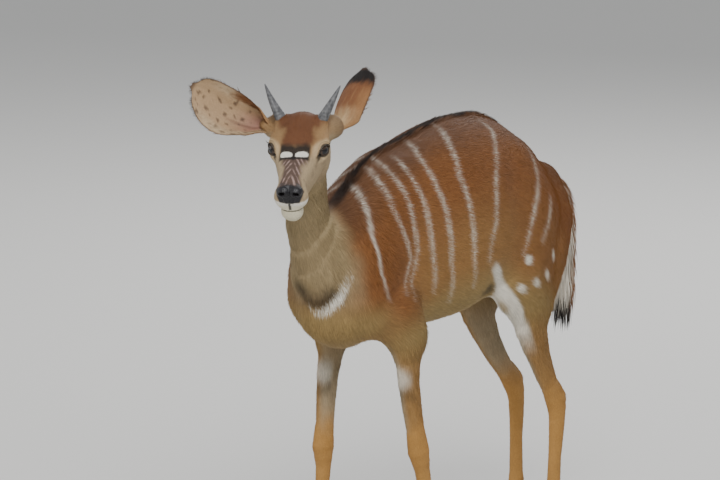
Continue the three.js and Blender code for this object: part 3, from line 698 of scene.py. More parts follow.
def leg_frames(p):
    """How far each point lies ahead of the nearest leg's axis and out to the side of it."""
    ahead = np.zeros(len(p))
    outward = np.zeros(len(p))
    nearest = np.full(len(p), 1e9)
    for side, route in LEG_ROUTES:
        x, y = (np.interp(p[:, 2], route[::-1, 2], route[::-1, k]) for k in (0, 1))
        d = np.hypot(p[:, 0] - x, p[:, 1] - y)
        closer = d < nearest
        nearest = np.where(closer, d, nearest)
        ahead = np.where(closer, y - p[:, 1], ahead)
        outward = np.where(closer, (p[:, 0] - x) * side, outward)
    return ahead, outward


def coat_colour(p):
    """The coat's colour and how bare the skin is, at points in the body's millimetres."""
    x, y, z = p.T
    ax = np.abs(x)
    fall = (back_line(np.clip(y, *BACK_SPAN)) - z) / 300.0
    waver = wander(p, 60.0)
    fine = wander(p, 17.0, 5.0)
    colour = painted(
        CHESTNUT,
        (BACK_BROWN, smooth(0.24, 0.0, fall + waver * 0.05)),
        (FLANK_TAN, smooth(0.30, 0.78, fall + waver * 0.08) * smooth(-70, 40, y) * 0.9),
        (BELLY_OLIVE, smooth(0.84, 1.15, fall + waver * 0.06)),
        (CHESTNUT, smooth(260, 360, y) * smooth(500, 620, z) * 0.5),
        # Neck and breast
        (NECK_GREY, smooth(-132, -172, y + fine * 4) * smooth(540, 640, z) * 0.9),
        (BELLY_OLIVE, smooth(-50, -130, y) * smooth(620, 560, z) * 0.9),
    )
    # Legs, with faint black and white on knees, fetlocks and pasterns
    ahead, outward = leg_frames(p)
    leg = smooth(540, 440, z)
    fore = y <= 240
    knee = smooth(424, 410, z + fine * 8) * smooth(384, 396, z + fine * 8) * smooth(2, 14, ahead) * fore
    patch = smooth(30, 10, np.hypot(z - 436, outward + 4)) * smooth(4, 16, ahead) * fore
    colour = painted(
        colour,
        (FLANK_TAN, leg * 0.8),
        (PALE_LEG, leg * smooth(8, -10, outward) * 0.9),
        (TAWNY, smooth(390, 300, z + fine * 12)),
        (BLACK_BROWN, knee * 0.34),
        (WHITE, patch * 0.62),
        (BLACK_BROWN, smooth(112, 96, z + fine * 6) * smooth(72, 84, z + fine * 4) * 0.6),
        (WHITE, smooth(78, 70, z) * smooth(46, 54, z) * smooth(0, 8, ahead) * 0.8),
        (BLACK_BROWN, smooth(46, 36, z) * 0.8),
        # Inner thigh and belly behind are pale
        (PALE_LEG, smooth(300, 360, y) * smooth(720, 600, z) * smooth(56, 30, ax) * 0.8),
    )
    # Stripes over the back, broken a little as hair breaks them; each is moved a little on the right
    flank = np.column_stack([y, z])
    for number, route in enumerate(STRIPES):
        moved = np.where(x < 0, 9.0 * math.sin(number * 2.3), 0)
        d, t = route_distance(flank + moved[:, None] * (1, 0), route)
        width = STRIPE_WIDTH * (0.7 + 0.3 * np.sin(np.pi * np.clip(t, 0, 1))) + fine * 0.9
        fade = smooth(0.0, 0.1, t) * smooth(1.0, 0.75, t)
        broken = 0.78 + 0.22 * np.sin(d * 1.3 + t * 160 + fine * 3)
        strength = smooth(width + 2.4, width - 1.8, d) * (ax > 6) * (0.5 + 0.5 * fade) * broken
        colour = mix(colour, WHITE, strength * 0.84)
    spots = np.min([np.hypot(y - across, z - high) for across, high in THIGH_SPOTS], axis=0)
    d, t = route_distance(flank, THIGH_BAND)
    band = smooth(14, 7, d + fine * 2) * (ax > 40) * smooth(0, 0.1, t) * smooth(1.0, 0.75, t)
    # Seen from in front: a white crescent at the neck's foot, with painted shade above it where the neck's
    # front turns under
    from_front = np.column_stack([x, z])
    breast = smooth(-120, -146, y)
    shade, _ = route_distance(from_front, THROAT_PAINTED_SHADE)
    d, t = route_distance(from_front, CRESCENT)
    wide = 5.6 * np.sin(np.pi * np.clip(t * 0.96 + 0.02, 0, 1)) - 0.4
    # Dark line down the back, dark hair at the sheath, and in the flank fold dark hair with painted shade in
    # its recess
    ridge = smooth(11, 4, ax + fine * 3) * smooth(0.12, 0.04, fall) * smooth(-110, -60, y)
    nape = smooth(20, 8, np.abs(x - 1) + fine * 3) * smooth(-170, -150, y)
    nape = nape * smooth(-30, -90, y) * smooth(760, 800, z)
    sheath = smooth(44, 26, sheath_distance(p))
    fold = lengths((mirrored(p) - FLANK_FOLD) / (2, 0.9, 0.75)) + fine * 5 + wander(p, 8.0, 3.0) * 4
    colour = painted(
        colour,
        (WHITE, smooth(12.0, 6.5, spots + fine * 2.0) * (ax > 60) * 0.9),
        (WHITE, band * 0.9),
        # Painted shade over the throat, above the crescent
        (BLACK_BROWN, smooth(26, 3, shade + fine * 3) * breast * 0.66),
        (WHITE, smooth(wide + 1.8, wide - 1.4, d + fine) * breast * 0.97),
        (BLACK_BROWN, np.maximum(ridge, nape) * 0.92),
        # Dark hair at the sheath; in the flank fold, dark hair and painted shade
        (BLACK_BROWN, np.maximum(sheath, smooth(27, 5, fold)) * 0.9),
    )
    return face_colour(p, colour, fine)


def sheath_distance(p):
    return lengths((p - SHEATH) / (0.8, 1.0, 1.0))


bridge_width = profile((-10, 22), (0, 22), (28, 15), (54, 17), (74, 24))


def face_colour(p, colour, fine):
    """The colour with the face's laid over it, and how bare the nose pad is."""
    h = to_head(p)
    x, y, z = h.T
    ax = np.abs(x)
    small = wander(p, 5.5, 2.0)
    neck_join = smooth(-66, -88, z) * smooth(-132, -100, y)
    on_face = smooth(52, 30, y) * smooth(-150, -110, z) * (p[:, 1] < -130) * (1 - neck_join)
    red_side = 29 + 24 * smooth(-84, -34, y) + fine * 5 + small * 2
    crown = smooth(24, 38, z + fine * 3) * smooth(-132, -118, y) * smooth(red_side + 9, red_side - 7, ax)
    # Bridge of the nose: dark, with streaks that spread downwards from between the eyes
    down = -(y + 146)
    bridge_side = bridge_width(down)
    bridge = smooth(bridge_side + 6, bridge_side - 4, ax + fine * 3)
    bridge = bridge * smooth(-12, 2, z) * smooth(-136, -148, y)
    spread = (ax - 0.5 * down) * 0.62 + wander(p, 22.0, 9.0) * 2.4
    streak = np.sin(spread) * (0.55 + 0.45 * wander(p, 9.0, 4.0)) + small * 0.25
    streak = smooth(0.05, 0.75, streak) * smooth(1, 6, ax + down * 0.05)
    # A dark bar between the eyes with two white dashes on it
    mid = np.abs(x + 1.5)
    slant = y + 144.0 - (mid - 3) * 0.36
    dark_bar = smooth(27, 14, slant + small * 2) * smooth(-13, -8, slant) * smooth(32, 26, mid) * (z > 2)
    dash = (np.abs(mid - 14.6) / 11.8) ** 3 + (np.abs(slant) / 5.8) ** 3
    # Round the eye, with a dark corner in front
    d = mirrored(h) - EYE_PLACE
    along, across, out = d @ LID_FORE, d @ LID_UP, d @ GAZE
    reach = np.hypot(along / 17.0, across / 10.0)
    corner = smooth(9, 3, np.abs(across + 0.28 * along + small)) * smooth(6, 14, along)
    corner = corner * smooth(34, 20, along) * (out > 2)
    # Nose pad, white lips with a dark groove between, white chin
    lips = smooth(-27, -31, z + small) * smooth(-186, -200, y) * smooth(-52, -49, z)
    chin = smooth(-45, -50, z + small) * smooth(-150, -176, y)
    side_lip = smooth(-34, -40, z + small) * smooth(-54, -50, z) * smooth(-164, -176, y)
    pad_top = 6 - ax * ax / 110
    pad_side = 26.5 - 0.42 * np.maximum(-12 - z, 0)
    pad = smooth(-211, -217, y + small * 0.8) * smooth(pad_side + 1.5, pad_side - 1.5, ax)
    pad = pad * smooth(-31.5, -28.5, z) * smooth(pad_top + 1.5, pad_top - 2, z + small * 0.6)
    groove = smooth(3.2, 1.6, ax) * smooth(-48, -46, z) * smooth(-27, -30, z) * (y < -200)
    face = painted(
        CHEEK_TAN,
        ((0.230, 0.165, 0.100), smooth(0.0, 0.9, fine + 0.5 * small) * 0.6),
        (GOLD, smooth(6, 26, z + fine * 3) * smooth(-142, -126, y) * 0.85),
        (FOREHEAD, crown),
        (FOREHEAD, smooth(-30, -8, y) * smooth(-10, 20, z) * 0.8),
        ((0.250, 0.178, 0.102), smooth(34, 14, lengths(mirrored(h) - EAR_PLACE)) * 0.8),
        ((0.070, 0.040, 0.032), bridge * 0.94),
        ((0.360, 0.250, 0.215), bridge * streak * 0.8),
        (BLACK_BROWN, dark_bar * 0.95),
        (WHITE, smooth(1.25, 0.75, dash + small * 0.12) * (z > 2) * 0.97),
        ((0.520, 0.390, 0.230), smooth(2.3, 1.7, reach) * (out > 4) * 0.6),
        (BLACK_BROWN, corner * 0.85),
        (CREAM, chin * 0.92),
        (WHITE, lips * 0.97),
        (CREAM, side_lip * 0.8),
        ((0.014, 0.013, 0.015), np.maximum(pad, groove * 0.9)),
    )
    return mix(colour, face, on_face), pad * on_face


# Which way the hair lies, and how long it is

def hair(p, normal):
    """Lie, length and lift of the coat at points, and how much each is of head, shank, ridge and tuft."""
    x, y, z = p.T
    h = to_head(p)
    ax = np.abs(x)
    lie = painted(
        (0.0, 0.92, -0.38),
        ((0.0, 0.12, -1.0), smooth(560, 470, z)),
        ((0.0, 0.45, -0.9), smooth(330, 470, y) * smooth(900, 700, z)),
        ((0.0, 0.42, -0.9), smooth(-40, -120, y) * smooth(560, 700, z)),
        ((0.0, 0.98, -0.16), smooth(-190, -155, y) * smooth(700, 750, z) * smooth(62, 26, ax)),
        ((0.0, 0.5, -0.87), smooth(-90, -140, y) * smooth(700, 600, z)),
    )
    on_head = smooth(30, 0, h[:, 1]) * smooth(-84, -66, h[:, 2]) * (p[:, 1] < -150)
    blaze = smooth(12, 36, h[:, 2]) * smooth(-170, -110, h[:, 1])
    face_way = np.column_stack([np.sign(h[:, 0]) * 0.16, np.ones(len(p)), blaze * 0.3 - 0.16])
    lie = mix(lie, turned_by_head(face_way), on_head)
    lie = lie - normal * (lie * normal).sum(1, keepdims=True)
    lie /= np.maximum(lengths(lie), 1e-6)[:, None]
    shank = smooth(470, 250, z)
    muzzle = smooth(-60, -200, h[:, 1])
    length = 14.0 + smooth(620, 520, z) * smooth(440, 520, z) * 4
    length += smooth(-60, -150, y) * smooth(560, 640, z) * smooth(900, 760, z) * 2
    length = length * (1 - shank) + 7.5 * shank
    length = length * (1 - on_head) + (8.0 - 5.0 * muzzle) * on_head
    lift = 0.135 + 0.015 * wander(p, 45.0)
    lift = lift * (1 - 0.25 * np.maximum(on_head, shank))
    # Long hair on the ridge of the back, in the flank fold and between the hind legs
    top = back_line(np.clip(y, *BACK_SPAN))
    ridge = smooth(13, 7, ax) * smooth(22, 10, top - z) * smooth(-112, -80, y) * smooth(600, 560, y)
    tuft = smooth(36, 22, sheath_distance(p))
    fold = smooth(20, 10, lengths((mirrored(p) - FLANK_FOLD) / (2, 0.8, 1.1)))
    length = length * (1 - ridge) + (24 + 6 * wander(p, 70.0)) * ridge + 14 * fold
    length = length * (1 - tuft) + 34.0 * tuft
    lift = lift + 0.16 * ridge + 0.12 * fold + 0.8 * tuft
    return lie, length, lift, on_head, shank, ridge, tuft


# Finishes

class Wire:
    """A node's output; arithmetic on it adds Math nodes."""

    def __init__(self, graph, socket):
        self.graph = graph
        self.socket = socket

    def maths(self, operation, a, b):
        return self.graph.node("ShaderNodeMath", {"operation": operation}, {0: a, 1: b})

    def __add__(self, other):
        return self.maths("ADD", self, other)

    def __rsub__(self, other):
        return self.maths("SUBTRACT", other, self)

    def __sub__(self, other):
        return self.maths("SUBTRACT", self, other)

    def __mul__(self, other):
        return self.maths("MULTIPLY", self, other)


class Graph:
    """A node tree whose nodes are added through one method."""

    def __init__(self, tree):
        self.tree = tree

    def node(self, kind, settings=None, values=None, out=0):
        """Adds a node and gives one of its outputs, or several of them for several numbers."""
        made = self.tree.nodes.new(kind)
        for key, value in (settings or {}).items():
            if key == "stops":
                ramp = made.color_ramp
                while len(ramp.elements) < len(value):
                    ramp.elements.new(0.5)
                for element, (position, colour) in zip(ramp.elements, value):
                    element.position = position
                    element.color = (*colour, 1.0)
            else:
                setattr(made, key, value)
        for key, value in (values or {}).items():
            if isinstance(value, Wire):
                self.tree.links.new(value.socket, made.inputs[key])
            else:
                made.inputs[key].default_value = value
        if isinstance(out, int):
            return Wire(self, made.outputs[out])
        return [Wire(self, made.outputs[number]) for number in out]


class Finish(Graph):
    """A material with one Principled shader."""

    def __init__(self, name, **sockets):
        self.material = bpy.data.materials.new(name)
        self.material.use_nodes = True
        super().__init__(self.material.node_tree)
        self.shader = self.tree.nodes["Principled BSDF"]
        self.set(**sockets)

    def set(self, **sockets):
        for key, value in sockets.items():
            socket = self.shader.inputs[key.replace("_", " ").title().replace("Ior", "IOR")]
            if isinstance(value, Wire):
                self.tree.links.new(value.socket, socket)
            else:
                socket.default_value = (*value, 1.0) if isinstance(value, tuple) else value

    def place(self, scale=(1.0, 1.0, 1.0)):
        where = self.node("ShaderNodeTexCoord", out=3)
        return self.node("ShaderNodeMapping", None, {"Vector": where, "Scale": scale})

    def noise(self, scale, detail=3.0, vector=None):
        return self.node("ShaderNodeTexNoise", None, {
            "Vector": vector or self.place(), "Scale": scale, "Detail": detail})

    def kept(self, name, out=0):
        return self.node("ShaderNodeAttribute", {"attribute_name": name}, out=out)

    def tinted(self, colour, amount):
        """A colour made lighter or darker by a number."""
        grey = self.node("ShaderNodeCombineColor", None, {0: amount, 1: amount, 2: amount})
        return self.node("ShaderNodeMix", {"data_type": "RGBA", "blend_type": "MULTIPLY"},
                         {0: 1.0, 6: colour, 7: grey}, out=2)

    def bump(self, height, strength, distance):
        return self.node("ShaderNodeBump", None, {
            "Height": height, "Strength": strength, "Distance": distance})


def coat_finish():
    finish = Finish("coat", roughness=0.62, specular_ior_level=0.18, sheen_weight=0.03, sheen_roughness=0.4)
    strands = finish.noise(900.0, 2.0)
    patches = finish.noise(26.0, 3.0)
    amount = strands * 0.34 + patches * 0.22 + 0.72
    finish.set(base_color=finish.tinted(finish.kept("coat"), amount))
    return finish.material


def skin_finish():
    finish = Finish("skin", specular_ior_level=0.3)
    strands = finish.noise(620.0, 3.0, finish.place((1.0, 0.35, 0.6)))
    patches = finish.noise(26.0, 3.0)
    bare = finish.kept("bare", 2)
    # The skin shows between the tufts: the coat's colour with streaks, a little darker as painted shade
    # between them
    amount = strands * 0.5 + patches * 0.2 + 0.58
    finish.set(base_color=finish.tinted(finish.kept("coat"), amount))
    finish.set(roughness=0.78 - bare * 0.42)
    pebbles = finish.node("ShaderNodeTexVoronoi", None, {"Vector": finish.place(), "Scale": 620.0})
    height = strands * (1.0 - bare) + pebbles * bare * 0.8
    finish.set(normal=finish.bump(height, 0.55, 0.0008))
    return finish.material


def eye_finish():
    finish = Finish("eye", roughness=0.05, specular_ior_level=0.35, coat_weight=0.25, coat_roughness=0.02)
    flecks = finish.noise(900.0, 2.0)
    finish.set(base_color=finish.tinted(finish.kept("coat"), flecks * 0.5 + 0.75))
    return finish.material


def horny_finish(name, grain_scale, lie, scale, ripple, stops, shares, rough, relief):
    """Horn or hoof: fine grain along it, faint bands of growth across it."""
    finish = Finish(name, specular_ior_level=0.4)
    grain = finish.noise(grain_scale, 5.0, finish.place((1.0, 1.0, lie)))
    bands = finish.node("ShaderNodeTexWave", {"wave_type": "BANDS", "bands_direction": "Z"}, {
        "Vector": finish.place(), "Scale": scale, **ripple})
    shade = finish.node("ShaderNodeValToRGB", {"stops": stops}, {0: grain * shares[0] + bands * shares[1]})
    finish.set(base_color=shade, roughness=grain * rough[0] + rough[1])
    finish.set(normal=finish.bump(grain * relief[0] + bands * relief[1], relief[2], relief[3]))
    return finish.material


COAT = coat_finish()
SKIN = skin_finish()
EYE = eye_finish()
HORN = horny_finish(
    "horn", 190.0, 0.3, 42.0, {"Distortion": 2.2, "Detail": 2.0},
    ((0.25, (0.036, 0.036, 0.039)), (0.55, (0.110, 0.110, 0.113)), (0.8, (0.230, 0.225, 0.215))),
    (0.85, 0.08), (0.3, 0.34), (1.0, 0.25, 0.4, 0.0007))
HOOF = horny_finish(
    "hoof", 150.0, 0.25, 46.0, {"Distortion": 1.4},
    ((0.2, (0.010, 0.009, 0.008)), (0.6, (0.032, 0.027, 0.022)), (0.85, (0.085, 0.070, 0.052))),
    (0.85, 0.12), (0.35, 0.3), (0.6, 0.5, 0.45, 0.0008))


# Tufts of hair, set over a surface that carries the lie, length, lift and cover of the coat

TUFT_DENSITY = 900000.0
TUFT_SUNK = 0.0004
TUFT_PATCH = 0.003


TUFT_INPUTS = {
    "Surface": "Geometry", "Spacing": "Float", "Density": "Float", "Region": "Int", "Seed": "Int",
    "Width": "Float", "Thickness": "Float", "Arch": "Float", "Stray": "Float", "Steps": "Int",
    "Finish": "Material",
}


def tuft_tree():
    tree = bpy.data.node_groups.new("tufts", "GeometryNodeTree")
    for name, kind in TUFT_INPUTS.items():
        tree.interface.new_socket(name, in_out="INPUT", socket_type="NodeSocket" + kind)
    tree.interface.new_socket("Tufts", in_out="OUTPUT", socket_type="NodeSocketGeometry")
    graph = Graph(tree)
    sockets = tree.nodes.new("NodeGroupInput").outputs
    given = {name: Wire(graph, sockets[name]) for name in TUFT_INPUTS}

    def node(kind, values, out=0, **settings):
        return graph.node("GeometryNode" + kind, settings, values, out)

    def added(a, b):
        return graph.node("ShaderNodeVectorMath", {"operation": "ADD"}, {0: a, 1: b})

    def scaled(a, amount):
        return graph.node("ShaderNodeVectorMath", {"operation": "SCALE"}, {0: a, "Scale": amount})

    def combined(x, y, z):
        return graph.node("ShaderNodeCombineXYZ", None, {0: x, 1: y, 2: z})

    def parted(vector):
        return graph.node("ShaderNodeSeparateXYZ", None, {0: vector}, (0, 1, 2))

    def stored(name, kind="FLOAT"):
        return node("InputNamedAttribute", {"Name": name}, data_type=kind)

    def store(geometry, name, value, kind="FLOAT_VECTOR", domain="POINT"):
        return node("StoreNamedAttribute", {"Geometry": geometry, "Name": name, "Value": value},
                    data_type=kind, domain=domain)

    def chance(low, high, seed):
        first, out, kind = (2, 1, "FLOAT") if isinstance(low, float) else (0, 0, "FLOAT_VECTOR")
        return graph.node("FunctionNodeRandomValue", {"data_type": kind}, {
            first: low, first + 1: high, "Seed": given["Seed"] + seed}, out)

    # One tuft, root at the origin, a unit long
    blade = node("MeshCone", {"Vertices": 3, "Side Segments": given["Steps"], "Radius Top": 0.0,
                              "Radius Bottom": 0.5, "Depth": 1.0}, fill_type="NGON")
    at = node("InputPosition", {})
    x, y, z = parted(at)
    wide = z * (1.0 - z) * 3.4 + 0.8
    blade = store(blade, "patch", at)
    blade = node("SetPosition", {"Geometry": blade, "Position": combined(x * wide, y * wide, z)})

    own = graph.node("FunctionNodeCompare", {"data_type": "INT", "operation": "EQUAL"}, {
        2: stored("region", "INT"), 3: given["Region"]})
    points, normal = node("DistributePointsOnFaces", {
        "Mesh": given["Surface"], "Selection": own, "Distance Min": given["Spacing"],
        "Density Max": given["Density"], "Density Factor": stored("cover"), "Seed": given["Seed"],
    }, (0, 1), distribute_method="POISSON")
    points = store(points, "root", stored("OFBake", "FLOAT_VECTOR"))
    points = node("RemoveAttribute", {"Geometry": points, "Name": "OFBake"})
    points = store(points, "shade", chance(0.0, 1.0, 3), "FLOAT")
    stray = scaled(chance((-1, -1, -1), (1, 1, 1), 5), given["Stray"])
    way = added(added(stored("lie", "FLOAT_VECTOR"), scaled(normal, stored("lift"))), stray)
    turn = graph.node("FunctionNodeAxesToRotation", {"primary_axis": "Z", "secondary_axis": "Y"}, {
        0: way, 1: normal})
    length = stored("length") * chance(0.78, 1.18, 7)
    size = combined(length * (given["Width"] * chance(0.8, 1.2, 9)), length * given["Thickness"], length)
    tufts = node("InstanceOnPoints", {"Points": points, "Instance": blade, "Rotation": turn, "Scale": size})
    tufts = node("RealizeInstances", {"Geometry": tufts})
    # Each tuft arches away from the skin and comes back to it at the tip
    px, _, pz = parted(stored("patch", "FLOAT_VECTOR"))
    out = stored("out", "FLOAT_VECTOR")
    bow = scaled(out, pz * (1.0 - pz) * 4.0 * given["Arch"] * stored("length"))
    tufts = node("SetPosition", {"Geometry": tufts, "Offset": added(bow, scaled(out, -TUFT_SUNK))})
    offset = combined(px * TUFT_PATCH, (pz - 0.5) * TUFT_PATCH, 0.0)
    place = added(stored("root", "FLOAT_VECTOR"), offset)
    tufts = store(tufts, "OFBake", place, "FLOAT2", "CORNER")
    tufts = node("SetShadeSmooth", {"Geometry": tufts, "Shade Smooth": False})
    tufts = node("SetMaterial", {"Geometry": tufts, "Material": given["Finish"]})
    tree.links.new(tufts.socket, tree.nodes.new("NodeGroupOutput").inputs[0])
    return tree


TUFTS = tuft_tree()


def grown(name, surface, paint=None, **sizes):
    """A plain mesh piece of tufts grown over a surface; paint gives their colours from their places."""
    carrier = surface.copy()
    carrier.data = surface.data.copy()
    bpy.context.scene.collection.objects.link(carrier)
    modifier = carrier.modifiers.new("tufts", "NODES")
    modifier.node_group = TUFTS
    values = {"Density": TUFT_DENSITY, "Arch": 0.05, "Stray": 0.06, "Finish": COAT, **sizes}
    for item in TUFTS.interface.items_tree:
        if item.name in values and item.in_out == "INPUT":
            modifier[item.identifier] = values[item.name]
    carrier.update_tag()
    bpy.context.view_layer.update()
    graph = bpy.context.evaluated_depsgraph_get()
    mesh = bpy.data.meshes.new_from_object(carrier.evaluated_get(graph))
    spare = carrier.data
    bpy.data.objects.remove(carrier)
    bpy.data.meshes.remove(spare)
    mesh.name = name
    shade = read(mesh.attributes["shade"].data, "value", 1)
    if paint is None:
        colour = read(mesh.attributes["coat"].data, "color", 4)[:, :3]
    else:
        colour = paint(read(mesh.vertices, "co", 3) / METRE + MIDDLE)
    keep(mesh, "coat", colour * (0.84 + 0.32 * shade))
    clean(mesh)
    mesh.attributes.remove(mesh.attributes["bare"])
    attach(place(name, mesh, COAT), "root")


def clean(mesh):
    """Takes away the attributes that only the tufts needed."""
    for key in ("lie", "length", "lift", "cover", "region", "out", "root", "patch", "shade"):
        if key in mesh.attributes:
            mesh.attributes.remove(mesh.attributes[key])


# The skin of the whole animal in one piece

def animal_skin():
    points, quads = surface_net(skin_field, (-152, -428, 10), (154, 640, 1008), SKIN_CELL)
    tris = np.vstack([quads[:, [0, 1, 2]], quads[:, [0, 2, 3]]])
    points = eased(points, tris, 0.5, 3)
    points = settle(skin_field, points, np.ones(len(points), bool))
    corners = unwrapped(points, tris)

    def near(p, places, reach):
        return np.any([lengths(mirrored(to_head(p)) - np.array(q)) < reach for q in places], axis=0)

    def head_and_shanks(p):
        return ((to_head(p)[:, 1] < 70) & (p[:, 2] > 800) & (p[:, 1] < -120)) | (p[:, 2] < 400)

    def face(p):
        h = to_head(p)
        return (h[:, 1] < 22) & (h[:, 2] > -84) & by_head(p)

    def features(p):
        mouth = [(5 + 2.8 * i, -222 + 8 * i, -50.5) for i in range(8)]
        eye, nostril = [EYE_PLACE + 15 * GAZE], [(13, -226, -9), (4, -230, -20)]
        fine = near(p, eye, 25) | near(p, nostril, 14) | near(p, mouth, 8.0)
        return fine & (p[:, 2] > 760) & (p[:, 1] < -120)

    for chosen in (head_and_shanks, face, features):
        points, tris, corners = refined(points, tris, corners, chosen(points))
        marked = chosen(points)
        points = eased(points, tris, 0.5, 2, marked)
        points = settle(skin_field, points, marked)
    return points, tris, corners


def lid_places(q):
    """Places over the eye in its own frame: towards the nose, up and out, and how far out of the opening."""
    d = q - EYE_PLACE
    fore, up, out = d @ LID_FORE, d @ LID_UP, d @ GAZE
    along = fore * math.cos(LID_SLANT) - up * math.sin(LID_SLANT)
    across = fore * math.sin(LID_SLANT) + up * math.cos(LID_SLANT)
    reach = np.sqrt((along / LID_REACH) ** 2 + np.abs(across) / np.where(across > 0, LID_HIGH, LID_LOW))
    return along, across, out, reach


def carved(points):
    """Presses the eyelids, nostrils and mouth into the skin of the face."""
    h = to_head(points)
    side = np.where(h[:, 0] < 0, -1.0, 1.0)
    q = mirrored(h)
    # Eyelids: an almond opening over the eyeball, a rim round it and folds above and below
    along, across, out, reach = lid_places(q)
    close = (out > 3) & (np.abs(along) < 30) & (np.abs(across) < 24)
    ball = np.sqrt(np.maximum(EYE_RADIUS ** 2 - along ** 2 - across ** 2, 0))
    sink = smooth(1.03, 0.90, reach) * close
    rim = np.exp(-((reach - 1.10) / 0.06) ** 2) * close
    fold = np.exp(-((reach - 1.34) / 0.06) ** 2) * smooth(1, 6, across) * close
    lower = np.exp(-((reach - 1.38) / 0.07) ** 2) * smooth(-1, -6, across) * close
    lid = np.maximum(ball + 1.4, 9.0)
    held = smooth(1.7, 1.12, reach) * close * 0.85
    moved = out + (np.minimum(lid, out + 3.0) - out) * held
    moved = moved + rim * 1.3 - fold * 1.5 - lower * 0.8
    moved = moved * (1 - sink) + np.minimum(np.maximum(ball - 3.0, 5.0), moved) * sink
    q = q + GAZE * (moved - out)[:, None]
    ax, y, z = q.T.copy()
    # Tear line in front of the eye
    tear = np.exp(-(np.hypot((along - 22) / 5.0, (across - 1) / 1.8)) ** 2) * (out > 3)
    ax = ax - tear * 1.5
    # Nostrils: a comma that opens to the side, with a wing round it
    nx, nz = ax - 13.5, z + 9
    nostril = np.hypot((nx - nz * 0.4) / 6.8, (nz + nx * 0.35) / 4.0)
    front = smooth(-206, -214, y)
    wing = np.exp(-((nostril - 1.45) / 0.30) ** 2) * front
    hole = smooth(1.12, 0.50, nostril) * front
    y = y - wing * 1.3 + hole * 8.0
    ax = ax - hole * 2.0 * smooth(12, 22, ax)
    # Mouth line and the groove under the nose
    line = -50.5 - 1.5 * smooth(-215, -195, y) + 1.5 * smooth(-190, -172, y)
    mouth = np.exp(-((z - line) / 1.4) ** 2) * smooth(-160, -174, y)
    ax = ax - mouth * 2.4 * smooth(4, 12, ax)
    y = y + mouth * 2.6 * smooth(-206, -216, y)
    groove = np.exp(-(ax / 1.6) ** 2) * smooth(-8, -16, z) * smooth(-49, -44, z) * (y < -205)
    y = y + groove * 2.2
    shaped = from_head(np.column_stack([ax * side, y, z]))
    return shaped, np.maximum(sink, hole), mouth, smooth(1.30, 1.16, reach) * close


skin_points, skin_tris, skin_corners = animal_skin()
face_points = np.flatnonzero((to_head(skin_points)[:, 1] < 25) & by_head(skin_points))
carved_face, hollow, mouth_line, lid_skin = carved(skin_points[face_points])
plain_points = skin_points.copy()
skin_points[face_points] = carved_face
skin_normals = point_normals(skin_points, skin_tris)
coat, bare = coat_colour(plain_points)
# Painted shade in the nostrils, the mouth's crease and the eye's opening; the lids round the eye are
# darkened as well
hollow_shade_and_lids = np.zeros(len(coat))
hollow_shade_and_lids[face_points] = np.maximum(np.maximum(hollow, mouth_line), lid_skin * 0.9)
coat = mix(coat, (0.012, 0.009, 0.008), hollow_shade_and_lids)
bare = np.maximum(bare, hollow_shade_and_lids * 0.8)
lie, length, lift, on_head, shank, ridge, tuft = hair(plain_points, point_normals(plain_points, skin_tris))
cover = (1.0 - 0.35 * shank) * (bare < 0.25) * (skin_points[:, 2] > 36)

# Each part of the skin grows its own coat piece, numbered as in the table below
along_body, level = plain_points[:, 1], plain_points[:, 2]
region = np.select(
    [ridge > 0.4, tuft > 0.3, on_head > 0.5, level < 470, (along_body < -120) & (level > 640),
     along_body < 30, along_body < 190, along_body < 370],
    [8, 9, 1, 2, 3, 4, 5, 6], 7)
skin_mesh = mesh_of(
    "skin", shown(skin_points), skin_tris, skin_corners, coat=coat, bare=bare, lie=lie, out=skin_normals,
    length=length * METRE, lift=lift, cover=cover, region=region)
skin = place("skin", skin_mesh, SKIN)
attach(skin, "root")
flesh = [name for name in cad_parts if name.startswith(("head", "neck", "torso", "foreleg", "hindleg"))]
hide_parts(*flesh)

# Coat pieces: name, region, spacing in metres, width and thickness as shares of the length, steps
COATS = (
    ("coat_face", 1, 0.0016, 0.28, 0.12, 1),
    ("coat_shanks", 2, 0.0022, 0.24, 0.12, 1),
    ("coat_neck", 3, 0.0022, 0.15, 0.08, 1),
    ("coat_shoulders", 4, 0.0024, 0.15, 0.08, 1),
    ("coat_barrel", 5, 0.0024, 0.15, 0.08, 1),
    ("coat_loins", 6, 0.0024, 0.15, 0.08, 1),
    ("coat_haunches", 7, 0.0024, 0.15, 0.08, 1),
    ("coat_ridge", 8, 0.0024, 0.10, 0.05, 3),
    ("coat_belly_tuft", 9, 0.0020, 0.07, 0.05, 3),
)
for number, (name, part, spacing, width, thickness, steps) in enumerate(COATS):
    grown(name, skin, lambda p: coat_colour(p)[0], Region=part, Seed=11 + number, Spacing=spacing,
          Width=width, Thickness=thickness, Steps=steps)
clean(skin.data)


# Closed surfaces over a grid of rows and columns

def grid_faces(rows, columns, start, flip=False):
    """Triangles between rows of points; columns don't join round."""
    i, j = np.meshgrid(np.arange(rows - 1), np.arange(columns - 1), indexing="ij")
    a = (start + i * columns + j).ravel()
    b, c, d = a + 1, a + columns + 1, a + columns
    tris = np.vstack([np.column_stack([a, b, c]), np.column_stack([a, c, d])])
    return tris[:, ::-1] if flip else tris


